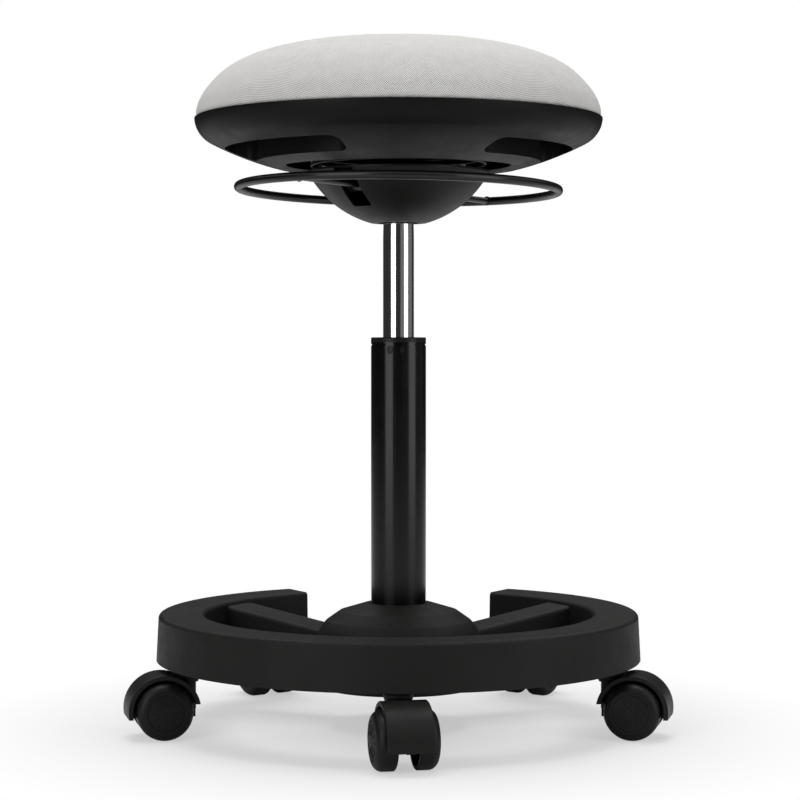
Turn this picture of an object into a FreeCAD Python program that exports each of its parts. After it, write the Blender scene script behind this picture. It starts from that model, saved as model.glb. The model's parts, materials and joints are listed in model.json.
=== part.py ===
import FreeCAD, Part
import math
import os

# Round wobble stool: a padded seat tilts on a ball joint that a wide coil spring rights, on a gas
# column, over a C-shaped foot ring on five twin-wheel castors. A hand ring works the gas valve.
# All sizes are in millimetres and all angles in degrees. The origin is on the floor on the
# column's axis, +Z is up and the front faces -Y. An azimuth is counted from the front, towards +X.

# Castors
castor_azimuths = [0, 72, 144, -144, -72]
castor_swivels = [12, 76, 144, -144, -76]      # the way that each castor trails at rest
castor_trail = 22.0
wheel_radius = 25.0
wheel_width = 19.0
wheel_tread_width = 10.5
wheel_face_radius = 17.5
wheel_cap_radius = 15.5
wheel_cap_groove = 1.0
wheel_cap_depth = 0.7
wheel_cap_crown = 1.2
wheel_bend_out = 0.72                         # the rounded shoulder between tread and face, as shares
wheel_bend_along = 0.66
wheel_axle_gap = 2.0                          # between the axle's end and the blind bore's
wheel_hollow_depth = 11.0
wheel_rim_wall = 3.5
wheel_hub_wall = 3.5
wheel_gap = 18.0                              # between the inner faces of a pair of wheels
hood_width = 39.5
hood_gap = 3.0
hood_wall = 4.0
hood_edge = 1.2
hood_front_drop = 6.0                         # the hood's outer edge lies this far below the axle
hood_back_rise = 6.0                          # and its inner edge this far above it
castor_web_width = 8.0
castor_boss_radius = 8.0
castor_collar_radius = 12.5
castor_collar_rise = 3.5                      # the collar's top above the hood's top
collar_cone_height = 8.0
collar_cone_inset = 2.5
axle_radius = 3.0
axle_inset = 1.5
stem_radius = 5.5
stem_length = 56.0
stem_end_gap = 2.0                            # between the stem's top and the sleeve's
stem_flange_radius = 8.5
stem_flange_height = 1.6
stem_neck_depth = 0.8
stem_neck_height = 5.0
sleeve_wall = 1.6
sleeve_length = 33.0

# Base moulding
swivel_gap = 2.0                              # between a castor's collar and the foot ring
ring_outer_radius = 217.5
ring_draft = 2.0
ring_inner_radius = 176.0
castor_pivot_radius = (ring_outer_radius + ring_inner_radius) / 2
ring_height = 41.0
ring_edge = 3.5
ring_opening_half = 30.5                      # half angle of the opening at the back
ring_wall = 4.0
ring_rib_count = 24
ring_rib_span = 288.0
ring_rib_wall = 2.5
ring_rib_height = 27.0
socket_wall = 3.5
arm_azimuths = [0, 120, -120]
arm_width = 40.0
arm_draft = 2.0
arm_ring_drop = 3.5                           # the arm's top below the ring's top
arm_hub_drop = 21.5
arm_hub_depth = 42.0
hub_top_radius = 30.0
hub_radius = 75.0
hub_bottom_radius = 72.0
hub_bottom_drop = 26.5                        # below the ring's underside
hub_rise = 8.0                                # above the ring's top
hub_crown_width = 23.4                        # the nearly flat top round the column
hub_crown_drop = 7.1
hub_brow_inset = 9.6
hub_brow_drop = 15.5
hub_cheek_inset = 2.3
hub_cheek_rise = 6.0                          # above the shoulder
hub_shoulder_drop = 31.5
hub_wall = 4.0
hub_rib_count = 9
hub_boss_wall = 5.0

# Column
column_radius = 25.0
column_wall = 2.5
column_taper = 1.0                            # narrowing of the radius inside the hub
column_height = 353.0                         # top of the cap flange above the floor
column_bottom_rise = 5.5                      # above the hub's underside
end_plate_height = 4.0
end_plate_rise = 2.5
end_plate_zone = 78.0
end_plate_seat = 1.0
bush_length = 98.5
bush_cap_height = 4.5
bush_groove_depth = 0.7
bush_groove_height = 1.5
bush_cap_edge = 0.8
bush_window_width = 5.2
bush_window_height = 7.4
bush_window_drop = 7.6
bush_window_azimuths = [-17.5, 8.5, 162.5, 188.5]
bush_lug_recess = 0.8                         # the lug's face below the tube's outside

# Gas spring
cylinder_radius = 14.0
cylinder_wall = 1.8
cylinder_head = 23.0
cylinder_taper_length = 30.0
cylinder_taper = 0.75
rod_reach = 103.5                             # chrome that shows below the lower cup
height_travel = 95.0
travel_reserve = 35.0                         # from the lowered cylinder to the rubber buffer
rod_radius = 5.0
rod_neck_radius = 4.0
rod_overlap = 36.0                            # of the rod inside the cylinder at full height
piston_height = 12.0
piston_groove = 1.2
seal_height = 12.0
race_radius = 14.0
race_height = 2.0
bearing_ball_radius = 1.9
bearing_ball_count = 10
bearing_pitch_radius = 10.2
buffer_radius = 12.0
buffer_height = 14.0
buffer_waist = 2.0
clip_radius = 7.5
clip_height = 1.5
clip_gap_half = 28.0
valve_radius = 3.0
valve_reach = 5.9                             # above the cylinder's top
valve_length = 24.0
valve_crown = 1.2

# Lower cup, tilt mount and lever
cup_sphere_radius = 93.4
cup_wall = 2.2
cup_depth = 45.5
cup_flat_radius = 25.0
cup_hole_radius = 19.0
slot_width = 20.5
slot_rise = 13.0
slot_corner = 2.5
cup_screw_count = 3
cup_screw_pitch_radius = 71.0
cup_screw_radius = 1.6
cup_screw_head = 3.4
cup_screw_head_height = 1.8
cup_screw_length = 12.0
cup_boss_radius = 4.2
cup_boss_length = 17.0
mount_radius = 20.0
mount_flange_radius = 62.0
mount_flange_height = 4.0
mount_rib_wall = 4.0
mount_rib_count = 6
mount_rib_inset = 6.0                         # from the flange's edge to the rib's end
mount_rib_tip = 2.0
mount_rib_foot = 12.0                         # the rib's foot above the mount's underside
mount_yoke_length = 8.0                       # from the hub out to the yoke's gap
mount_bridge = 8.0
spoke_azimuth = -37.0
lever_height = 30.5                           # spokes above the cup's flat bottom
lever_slot_width = 13.0
lever_slot_drop = 11.5
lever_pivot_radius = 55.0
lever_pin_radius = 2.5
lever_pin_head = 4.0
lever_pin_head_height = 1.5
lever_barrel_radius = 6.0
lever_barrel_length = 14.0
lever_cheek_wall = 4.0
lever_cheek_radius = 6.5
lever_side_gap = 0.5
lever_pad_width = 10.0
lever_pad_height = 2.5
ring_grip_radius = 145.0
ring_grip_wire = 4.0
spoke_wire = 3.0
ring_grip_tilt = 1.2                          # at rest the ring leans up towards its pivot

# Ball joint and wobble spring
plate_height = 2.0
plate_radius = 81.8
plate_lightening_count = 6
plate_lightening_radius = 9.0
plate_lightening_pitch = 44.0
spring_radius = 80.0                          # outside of the coil
spring_wire = 3.8
spring_height = 37.5
spring_turns = 7
ball_radius = 15.0
ball_rise = 16.0                              # ball's centre above the lower spring plate
stud_radius = 8.0
stud_collar_radius = 14.0
stud_collar_height = 3.0
joint_gap = 0.3
liner_wall = 2.5
liner_skirt = 9.0
socket_radius = 26.0
socket_skirt = 10.0
socket_flange_radius = 42.0
socket_flange_height = 4.0
upper_plate_radius = 84.0
upper_plate_height = 3.5
upper_plate_lip = 3.0

# Seat
shell_rim_radius = 184.4
board_inset = 10.4
board_height = 12.0
board_edge = 2.0
bolt_radius = 4.0
bolt_head_radius = 6.5
bolt_head_height = 4.0
bolt_socket_radius = 2.5
bolt_socket_depth = 2.4
bolt_length = 17.0
bolt_pitch_radius = 60.0
bolt_count = 4
tee_barrel_radius = 5.2
tee_barrel_length = 10.0
tee_flange_radius = 10.0
tee_flange_height = 1.5
shell_rim_rise = 5.0                          # the rim's edge above the board's underside
shell_rim_lip = 1.5
shell_wall = 3.0
shell_knee_inset = 13.5                       # where the bowl turns up into the rim
shell_knee_drop = 21.0
shell_bowl_bulge = 1.8
shell_foot_drop = 43.8
shell_opening_radius = 100.4
shell_opening_drop = 37.6
shell_foot_width = 9.6                        # from the opening's edge out to the bowl
shell_lip_drop = 42.6
shell_lip_width = 5.4
shell_lip_bulge = 1.5
pocket_azimuths = [67, -53, 187]
pocket_half_angle = 34.0
pocket_inner_inset = 56.0
pocket_outer_inset = 27.0
pocket_corner = 10.0
pocket_wall = 2.5
pocket_roof = 2.5
shell_screw_radius = 2.0
shell_screw_head = 4.2
shell_screw_head_height = 2.4
shell_screw_length = 11.0
shell_screw_angle = 18.0
dome_height = 76.0                            # crown of the cushion above the board's underside
dome_crown_inset = 70.3
dome_crown_drop = 12.0
dome_shoulder_inset = 8.3
dome_shoulder_drop = 48.9
dome_side_overhang = 0.5
dome_side_drop = 73.5
cover_wall = 1.4
cover_gap = 0.4                               # between the fabric's edge and the shell's rim
hem_width = 21.0
hem_gap = 2.2                                 # between the hem and the shell's wall
tee_nut_recess = 4.0                          # in the cushion, over each tee nut's flange

# Clearances of running fits and parts that only lie close
running_gap = 0.06
small_gap = 0.3

# Heights above the floor, each worked out from what stands below it
hood_radius = wheel_radius + hood_gap + hood_wall
collar_top = wheel_radius + hood_radius + castor_collar_rise
ring_bottom = collar_top + swivel_gap
ring_top = ring_bottom + ring_height
hub_bottom = ring_bottom - hub_bottom_drop
hub_top = ring_top + hub_rise
column_bottom = hub_bottom + column_bottom_rise
end_plate_bottom = column_bottom + end_plate_rise
end_plate_top = end_plate_bottom + end_plate_height
lower_race_top = end_plate_top + race_height
ball_cage_top = lower_race_top + 2 * (bearing_ball_radius + small_gap / 3)
upper_race_top = ball_cage_top + race_height
buffer_top = upper_race_top + buffer_height
cup_bottom = column_height + rod_reach
cup_top = cup_bottom + cup_depth
lever_z = cup_bottom + lever_height
mount_bottom = cup_bottom + cup_wall + small_gap
lever_slot_bottom = lever_z - lever_slot_drop
mount_top = cup_top
cylinder_top = lever_slot_bottom - 2 * small_gap
cylinder_bottom = buffer_top + travel_reserve + height_travel
seal_top = cylinder_bottom + seal_height
rod_top = cylinder_bottom + rod_overlap
spring_seat = cup_top + plate_height
ball_z = spring_seat + ball_rise
upper_plate_bottom = spring_seat + spring_height
board_bottom = upper_plate_bottom + upper_plate_height
board_top = board_bottom + board_height
board_radius = shell_rim_radius - board_inset
rim_z = board_bottom + shell_rim_rise
dome_top = board_bottom + dome_height
cover_edge = rim_z + cover_gap
castor_reach = wheel_gap / 2 + wheel_width


def place(x, y, z):
    return FreeCAD.Vector(x, y, z)


def turned(shape, azimuth):
    """A shape made at the front, turned about the column's axis to an azimuth."""
    copy = shape.copy()
    copy.rotate(place(0, 0, 0), place(0, 0, 1), azimuth)
    return copy


def rod(radius, low, high, x=0.0, y=0.0):
    return Part.makeCylinder(radius, high - low, place(x, y, low))


def hollow(outer, inner, low, high, x=0.0, y=0.0):
    return rod(outer, low, high, x, y).cut(rod(inner, low, high, x, y))


def block(x0, x1, y0, y1, z0, z1):
    return Part.makeBox(x1 - x0, y1 - y0, z1 - z0, place(x0, y0, z0))


def outline(steps):
    """A closed face in the plane of radius and height. A step is a point, or a point on the way
    and the point where an arc through it ends."""
    edges = []
    here = steps[0]
    for step in steps[1:] + [steps[0]]:
        if isinstance(step[0], tuple):
            way, there = step
            edges.append(Part.Arc(place(here[0], 0, here[1]), place(way[0], 0, way[1]),
                                  place(there[0], 0, there[1])).toShape())
        else:
            there = step
            if math.dist(here, there) > 1e-6:
                edges.append(Part.LineSegment(place(here[0], 0, here[1]),
                                              place(there[0], 0, there[1])).toShape())
        here = there
    return Part.Face(Part.Wire(edges))


def spun(steps, angle=360.0):
    """An outline turned about the column's axis."""
    return outline(steps).revolve(place(0, 0, 0), place(0, 0, 1), angle)


def spun_across(steps, y, z):
    """An outline of radius and distance along X, turned about an axle that runs along X."""
    shape = spun(steps)
    shape.rotate(place(0, 0, 0), place(0, 1, 0), 90)
    shape.translate(place(0, y, z))
    return shape


def joined(shapes):
    return shapes[0].multiFuse(shapes[1:]).removeSplitter() if len(shapes) > 1 else shapes[0]


def circle_through(a, b, c):
    """The centre and radius of the circle through three points."""
    d = 2 * (a[0] * (b[1] - c[1]) + b[0] * (c[1] - a[1]) + c[0] * (a[1] - b[1]))
    sa, sb, sc = (p[0] ** 2 + p[1] ** 2 for p in (a, b, c))
    x = (sa * (b[1] - c[1]) + sb * (c[1] - a[1]) + sc * (a[1] - b[1])) / d
    z = (sa * (c[0] - b[0]) + sb * (a[0] - c[0]) + sc * (b[0] - a[0])) / d
    return (x, z), math.dist((x, z), a)


def circle_on(centre, start, end):
    """The circle that leaves start in line with the circle about centre and passes through end."""
    reach = math.dist(centre, start)
    nx, nz = (centre[0] - start[0]) / reach, (centre[1] - start[1]) / reach
    vx, vz = end[0] - start[0], end[1] - start[1]
    radius = (vx * vx + vz * vz) / (2 * (vx * nx + vz * nz))
    return (start[0] + nx * radius, start[1] + nz * radius), radius


def moved_in(point, centre, wall):
    """A point of an arc, moved towards the arc's centre by a wall."""
    reach = math.dist(point, centre)
    share = (reach - wall) / reach
    return (centre[0] + (point[0] - centre[0]) * share, centre[1] + (point[1] - centre[1]) * share)


def half_way(centre, radius, a, b):
    """The middle of the short arc from a to b."""
    x, z = (a[0] + b[0]) / 2 - centre[0], (a[1] + b[1]) / 2 - centre[1]
    reach = math.hypot(x, z)
    return (centre[0] + x * radius / reach, centre[1] + z * radius / reach)


def domed(radius, top, rise):
    """The step of an outline that closes it on the axis with a dome of this rise."""
    sphere = (radius ** 2 + rise ** 2) / (2 * rise)
    return ((radius / 2, top - sphere + math.sqrt(sphere ** 2 - radius ** 2 / 4)), (0, top))


def rounded_sector(inner, outer, half_angle, low, high, corner):
    """A slot bent round the axis and centred on the front, with rounded corners."""
    steps = [(inner, low), (outer, low), (outer, high), (inner, high)]
    shape = turned(spun(steps, 2 * half_angle), -90 - half_angle)
    upright = [e for e in shape.Edges if abs(e.BoundBox.ZLength - (high - low)) < 1e-3
               and e.BoundBox.XLength < 1e-3 and e.BoundBox.YLength < 1e-3]
    return shape.makeFillet(corner, upright)


def column_bore_radius(z):
    """The radius of the column's outside inside the hub, which narrows downwards."""
    share = (hub_top - z) / (hub_top - column_bottom)
    return column_radius - column_taper * share


def cylinder_head_radius(z):
    """The radius of the cylinder's tapered head."""
    share = max(0.0, (z - cylinder_top + cylinder_taper_length) / cylinder_taper_length)
    return cylinder_radius - cylinder_taper * share


def foot_ring():
    """The C-shaped foot ring: a channel that opens downwards, with closed ends."""
    top_edge = ring_edge * (1 - math.sqrt(0.5))
    foot = ring_outer_radius + ring_draft
    steps = [(ring_inner_radius - ring_draft / 2, ring_bottom), (foot, ring_bottom),
             (ring_outer_radius, ring_top - ring_edge),
             ((ring_outer_radius - top_edge, ring_top - top_edge),
              (ring_outer_radius - ring_edge, ring_top)),
             (ring_inner_radius + ring_edge, ring_top),
             ((ring_inner_radius + top_edge, ring_top - top_edge),
              (ring_inner_radius, ring_top - ring_edge))]
    span = 360 - 2 * ring_opening_half
    body = turned(spun(steps, span), -90 - span / 2)
    roof = ring_top - ring_wall
    channel = [(ring_inner_radius + ring_wall, ring_bottom), (foot - ring_wall, ring_bottom),
               (ring_outer_radius - ring_wall, roof), (ring_inner_radius + ring_wall, roof)]
    end_angle = math.degrees(ring_wall / ring_inner_radius)
    hollow_span = span - 2 * end_angle
    body = body.cut(turned(spun(channel, hollow_span), -90 - hollow_span / 2))
    ribs = []
    for i in range(ring_rib_count + 1):
        azimuth = -ring_rib_span / 2 + ring_rib_span * i / ring_rib_count
        if min(abs(azimuth - a) for a in castor_azimuths) > 1:
            rib = block(-ring_rib_wall / 2, ring_rib_wall / 2,
                        -ring_outer_radius + ring_wall / 2, -ring_inner_radius - ring_wall / 2,
                        ring_top - ring_wall - ring_rib_height, roof)
            ribs.append(turned(rib, azimuth))
    return [body] + ribs


def sector_arm():
    """One arm at the front: a channel from the hub to the foot ring, open below."""
    near = hub_radius - 3 * hub_wall
    far = ring_inner_radius + ring_wall / 2
    high = ring_top - arm_ring_drop
    low = ring_top - arm_hub_drop
    low_near = low - arm_hub_depth
    half = arm_width / 2

    def wedge(grow, drop):
        """A tapered bar from hub to ring; grow narrows it and drop lowers its top."""
        sections = []
        for y, top, bottom in ((near, low, low_near), (far, high, ring_bottom)):
            top_half = half - grow
            bottom_half = half + arm_draft - grow
            corners = [place(-bottom_half, -y, bottom), place(bottom_half, -y, bottom),
                       place(top_half, -y, top - drop), place(-top_half, -y, top - drop)]
            sections.append(Part.makePolygon(corners + corners[:1]))
        return Part.makeLoft(sections, True, True)

    bar = wedge(0, 0)
    long_edges = [e for e in bar.Edges if e.BoundBox.YLength > (far - near) / 2
                  and e.BoundBox.ZMax > low + 1]
    bar = bar.makeFillet(ring_edge, long_edges)
    below = hub_bottom_drop
    pocket = wedge(ring_wall, ring_wall)
    floor_cut = pocket.copy()
    floor_cut.translate(place(0, 0, -below))
    return bar, joined([pocket, floor_cut])


def base_moulding():
    shoulder_z = hub_top - hub_shoulder_drop
    crown = (hub_top_radius + hub_crown_width, hub_top - hub_crown_drop)
    brow = (hub_radius - hub_brow_inset, hub_top - hub_brow_drop)
    dome = [(column_radius, hub_bottom), (hub_bottom_radius, hub_bottom), (hub_radius, shoulder_z),
            ((hub_radius - hub_cheek_inset, shoulder_z + hub_cheek_rise), brow), crown,
            (hub_top_radius, hub_top), (column_radius, hub_top)]
    inside = [(column_radius + hub_boss_wall, hub_bottom), (hub_bottom_radius - hub_wall, hub_bottom),
              (hub_radius - hub_wall, shoulder_z), (brow[0] - hub_wall, brow[1] - hub_wall),
              (crown[0] - hub_wall, crown[1] - hub_wall),
              (column_radius + hub_boss_wall, hub_top - 2 * hub_wall)]
    hub = spun(dome)
    hub_space = spun(inside)
    arms = []
    pockets = []
    for azimuth in arm_azimuths:
        bar, pocket = sector_arm()
        arms.append(turned(bar, azimuth))
        pockets.append(turned(pocket, azimuth))
    ring_parts = foot_ring()
    sockets = []
    socket_holes = []
    for azimuth in castor_azimuths:
        radius = stem_radius + sleeve_wall + socket_wall
        sockets.append(turned(rod(radius, ring_bottom, ring_top - ring_wall / 2,
                                  0, -castor_pivot_radius), azimuth))
        socket_holes.append(turned(rod(stem_radius + sleeve_wall, ring_bottom,
                                       ring_bottom + sleeve_length, 0, -castor_pivot_radius), azimuth))
        web = block(-ring_rib_wall / 2, ring_rib_wall / 2,
                    -ring_outer_radius + ring_wall / 2, -ring_inner_radius - ring_wall / 2,
                    ring_top - ring_wall - ring_rib_height, ring_top - ring_wall)
        sockets.append(turned(web, azimuth))
    hub_ribs = []
    for i in range(hub_rib_count):
        rib = block(-ring_rib_wall / 2, ring_rib_wall / 2, -hub_bottom_radius + hub_wall / 2,
                    -column_radius - hub_boss_wall / 2, hub_bottom + 2 * hub_wall, hub_top)
        hub_ribs.append(turned(rib, 360 * i / hub_rib_count + 180 / hub_rib_count).common(hub_space))
    arm_space = joined(pockets).cut(spun([(0, 0), (hub_radius, 0), (hub_radius, hub_top), (0, hub_top)]))
    arm_space = arm_space.cut(hollow(ring_outer_radius * 2, ring_inner_radius - ring_draft, 0, hub_top))
    outer = joined([hub.cut(hub_space)] + [a.cut(spun([(0, 0), (hub_radius - hub_wall, 0),
                                                       (hub_radius - hub_wall, hub_top), (0, hub_top)]))
                                           for a in arms])
    body = outer.cut(arm_space)
    body = joined([body] + ring_parts + hub_ribs + sockets)
    taper = [(0, hub_bottom), (column_bore_radius(hub_bottom), hub_bottom),
             (column_radius, hub_top), (0, hub_top)]
    return body.cut(Part.makeCompound(socket_holes + [spun(taper)]))


def castor_sleeves():
    sleeve = hollow(stem_radius + sleeve_wall, stem_radius, ring_bottom,
                    ring_bottom + sleeve_length, 0, -castor_pivot_radius)
    return Part.makeCompound([turned(sleeve, azimuth) for azimuth in castor_azimuths])


def castor_stem():
    """One stem at the front: shank in the castor, flange, and grip neck in the ring's sleeve."""
    top = ring_bottom + sleeve_length - stem_end_gap
    bottom = top - stem_length
    flange_top = ring_bottom - small_gap / 3
    neck_top = top - stem_neck_height
    steps = [(0, bottom), (stem_radius - 1, bottom), (stem_radius, bottom + 1),
             (stem_radius, flange_top - stem_flange_height),
             (stem_flange_radius, flange_top - stem_flange_height), (stem_flange_radius, flange_top),
             (stem_radius, flange_top), (stem_radius, neck_top - stem_neck_height),
             (stem_radius - stem_neck_depth, neck_top - stem_neck_height),
             (stem_radius - stem_neck_depth, neck_top), (stem_radius, neck_top),
             (stem_radius, top - 1), (stem_radius - 1, top), (0, top)]
    stem = spun(steps)
    stem.translate(place(0, -castor_pivot_radius, 0))
    return stem


def castor_housing():
    """Hood, web and pivot boss of a castor that trails to the front, about its pivot."""
    axle_y = -castor_trail
    axle_z = wheel_radius
    half = hood_width / 2
    inner = wheel_radius + hood_gap

    def side_drum(radius, width):
        return Part.makeCylinder(radius, 2 * width, place(-width, axle_y, axle_z), place(1, 0, 0))

    band = side_drum(hood_radius, half)
    band_edges = [e for e in band.Edges if e.Curve.TypeId == "Part::GeomCircle"]
    band = band.makeFillet(hood_edge, band_edges)
    band = band.cut(side_drum(inner, half + 1))
    front_cut = block(-half - 1, half + 1, axle_y - hood_radius - 1, axle_y,
                      axle_z - hood_radius - 1, axle_z - hood_front_drop)
    back_cut = block(-half - 1, half + 1, axle_y, axle_y + hood_radius + 1,
                     axle_z - hood_radius - 1, axle_z + hood_back_rise)
    band = band.cut(front_cut).cut(back_cut)
    web = side_drum(inner + hood_wall / 2, castor_web_width / 2)
    web = web.common(block(-half, half, axle_y - inner - 1, axle_y + inner + 1,
                           axle_z - castor_boss_radius + 1, collar_top))
    boss = rod(castor_boss_radius, axle_z, collar_top)
    cone_bottom = axle_z + hood_radius - collar_cone_height
    collar = spun([(0, cone_bottom), (castor_collar_radius - collar_cone_inset, cone_bottom),
                   (castor_collar_radius, collar_top - castor_collar_rise),
                   (castor_collar_radius, collar_top - 1), (castor_collar_radius - 1, collar_top),
                   (0, collar_top)])
    drum = side_drum(castor_boss_radius, wheel_gap / 2 - small_gap)
    body = joined([band, web, boss, collar, drum])
    body = body.cut(side_drum(inner, half + 1).cut(side_drum(inner, wheel_gap / 2 - small_gap)))
    stem_bottom = ring_bottom + sleeve_length - stem_end_gap - stem_length
    bore = rod(stem_radius + running_gap, stem_bottom - 1, collar_top + 1)
    return body.cut(bore).cut(side_drum(axle_radius, half))


def castor_axle():
    half = castor_reach - axle_inset - wheel_axle_gap - 1
    return Part.makeCylinder(axle_radius, 2 * half, place(-half, -castor_trail, wheel_radius), place(1, 0, 0))


def castor_wheel():
    """The right wheel of a castor that trails to the front: tread, rounded outer face and cap."""
    inner = wheel_gap / 2
    outer = inner + wheel_width
    bore = axle_radius + running_gap
    tread_end = inner + wheel_tread_width
    face = outer - wheel_cap_crown
    bend = (wheel_face_radius + (wheel_radius - wheel_face_radius) * wheel_bend_out,
            tread_end + (face - tread_end) * wheel_bend_along)
    blind = outer - axle_inset - wheel_axle_gap
    cap_edge = wheel_cap_radius + wheel_cap_groove
    steps = [(bore, inner), (bore + wheel_hub_wall, inner),
             (bore + wheel_hub_wall, inner + wheel_hollow_depth),
             (wheel_radius - wheel_rim_wall, inner + wheel_hollow_depth),
             (wheel_radius - wheel_rim_wall, inner), (wheel_radius - 0.8, inner),
             (wheel_radius, inner + 0.8), (wheel_radius, tread_end),
             (bend, (wheel_face_radius, face)), (cap_edge, face),
             (cap_edge, face - wheel_cap_depth), (wheel_cap_radius, face - wheel_cap_depth),
             (wheel_cap_radius, face), domed(wheel_cap_radius, outer, outer - face),
             (0, blind), (bore, blind)]
    return spun_across(steps, -castor_trail, wheel_radius)


def castor_pose(shape, index):
    """Moves a piece of a castor from the axis to its place on the foot ring."""
    copy = turned(shape, castor_swivels[index])
    azimuth = math.radians(castor_azimuths[index])
    copy.translate(place(castor_pivot_radius * math.sin(azimuth),
                         -castor_pivot_radius * math.cos(azimuth), 0))
    return copy


def column_tube():
    top = column_height - bush_cap_height
    inner = column_radius - column_wall
    foot = inner - end_plate_seat
    groove = top - 2 * bush_groove_height
    steps = [(foot, column_bottom), (column_radius - column_taper, column_bottom),
             (column_radius, hub_top), (column_radius, groove),
             (column_radius - bush_groove_depth, groove),
             (column_radius - bush_groove_depth, groove + bush_groove_height),
             (column_radius, groove + bush_groove_height), (column_radius, top), (inner, top),
             (inner, end_plate_zone), (foot, end_plate_zone)]
    tube = spun(steps)
    return tube.cut(Part.makeCompound(bush_lugs(0, column_radius + 1)))


def bush_lugs(gap, reach):
    """The snap lugs of the bush, or with no gap the slots in the tube that they click into."""
    half = bush_window_width / 2 - gap
    high = column_height - bush_window_drop - gap - half
    low = column_height - bush_window_drop - bush_window_height + gap + half
    depth = reach - (column_radius - column_wall - 1)
    ends = [Part.makeCylinder(half, depth, place(0, -reach, z), place(0, 1, 0)) for z in (low, high)]
    lug = joined([block(-half, half, -reach, depth - reach, low, high)] + ends)
    return [turned(lug, azimuth) for azimuth in bush_window_azimuths]


def column_bush():
    top = column_height - bush_cap_height
    inner = column_radius - column_wall
    bore = cylinder_radius + running_gap
    low = column_height - bush_length
    steps = [(bore, low), (inner - 1, low), (inner, low + 1), (inner, top),
             (column_radius, top), (column_radius, column_height - bush_cap_edge),
             (column_radius - bush_cap_edge, column_height), (bore + bush_cap_edge, column_height),
             (bore, column_height - bush_cap_edge)]
    lugs = bush_lugs(small_gap, column_radius - bush_lug_recess)
    return joined([spun(steps)] + lugs)


def column_end_plate():
    edge = column_radius - column_wall - end_plate_seat
    return hollow(edge, rod_neck_radius + running_gap, end_plate_bottom, end_plate_top)


def bearing_race_lower():
    return hollow(race_radius, rod_radius + small_gap, end_plate_top, lower_race_top)


def piston_rod():
    """The rod, with the grooved neck below the end plate that the clip holds."""
    groove_top = end_plate_bottom - small_gap
    groove_low = groove_top - clip_height
    foot = groove_low - 1.5
    neck = rod_neck_radius
    steps = [(0, foot), (neck - 0.5, foot), (neck, foot + 0.5), (neck, groove_low),
             (neck - 1, groove_low), (neck - 1, groove_top), (neck, groove_top),
             (neck, end_plate_top + small_gap), (rod_radius, end_plate_top + small_gap),
             (rod_radius, rod_top), (0, rod_top)]
    return spun(steps)


def retaining_clip():
    high = end_plate_bottom - small_gap
    ring = hollow(clip_radius, rod_neck_radius - 1, high - clip_height, high)
    mouth = rod_neck_radius * math.tan(math.radians(clip_gap_half))
    return ring.cut(block(-mouth, mouth, 0, clip_radius + 1, high - clip_height, high))


def piston():
    high = rod_top - 2.0
    low = high - piston_height
    wide = cylinder_radius - cylinder_wall - running_gap
    steps = [(rod_radius, low), (wide, low), (wide, low + 3), (wide - piston_groove, low + 3),
             (wide - piston_groove, high - 3), (wide, high - 3), (wide, high), (rod_radius, high)]
    return spun(steps)


def bearing_balls():
    """The cage and the balls of the thrust bearing."""
    middle = (lower_race_top + ball_cage_top) / 2
    thin = bearing_ball_radius / 2
    cage = hollow(race_radius - 0.5, rod_radius + small_gap, middle - thin, middle + thin)
    balls = []
    for i in range(bearing_ball_count):
        turn = 2 * math.pi * i / bearing_ball_count
        centre = place(bearing_pitch_radius * math.cos(turn), bearing_pitch_radius * math.sin(turn), middle)
        balls.append(Part.makeSphere(bearing_ball_radius, centre))
    seats = [Part.makeSphere(bearing_ball_radius + small_gap, b.CenterOfMass) for b in balls]
    return Part.makeCompound([cage.cut(Part.makeCompound(seats))] + balls)


def bearing_race_upper():
    return hollow(race_radius, rod_radius, ball_cage_top, upper_race_top)


def rubber_buffer():
    middle = (upper_race_top + buffer_top) / 2
    steps = [(rod_radius, upper_race_top), (buffer_radius, upper_race_top),
             ((buffer_radius - buffer_waist, middle), (buffer_radius, buffer_top)),
             (rod_radius, buffer_top)]
    return spun(steps)


def gas_cylinder():
    inner = cylinder_radius - cylinder_wall
    roof = cylinder_top - cylinder_head
    bore = valve_radius + running_gap
    steps = [(inner, cylinder_bottom), (cylinder_radius - 0.6, cylinder_bottom),
             (cylinder_radius, cylinder_bottom + 0.6),
             (cylinder_radius, cylinder_top - cylinder_taper_length),
             (cylinder_radius - cylinder_taper, cylinder_top), (bore, cylinder_top), (bore, roof),
             (inner, roof)]
    return spun(steps)


def cylinder_seal():
    return hollow(cylinder_radius - cylinder_wall, rod_radius + running_gap, cylinder_bottom, seal_top)


def valve_pin():
    high = cylinder_top + valve_reach
    low = high - valve_length
    return spun([(0, low), (valve_radius, low), (valve_radius, high - valve_crown),
                 domed(valve_radius, high, valve_crown)])


def lever_direction():
    """The level unit vector from the axis towards the lever's pivot."""
    turn = math.radians(spoke_azimuth)
    return place(math.sin(turn), -math.cos(turn), 0)


def lever_tilted(shape):
    """Leans a level lever piece up towards the pivot, as the ring rests."""
    copy = turned(shape, spoke_azimuth)
    across = place(0, 0, 1).cross(lever_direction())
    copy.rotate(place(0, 0, lever_z), across, -ring_grip_tilt)
    return copy


def pivot_point():
    """The middle of the lever's pivot pin."""
    lean = math.radians(ring_grip_tilt)
    level = lever_direction() * (lever_pivot_radius * math.cos(lean))
    return level + place(0, 0, lever_z + lever_pivot_radius * math.sin(lean))


def across_bar(radius, half, spot):
    """A level bar square to the spokes, centred on a spot."""
    across = place(0, 0, 1).cross(lever_direction())
    return Part.makeCylinder(radius, 2 * half, spot - across * half, across)


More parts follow.
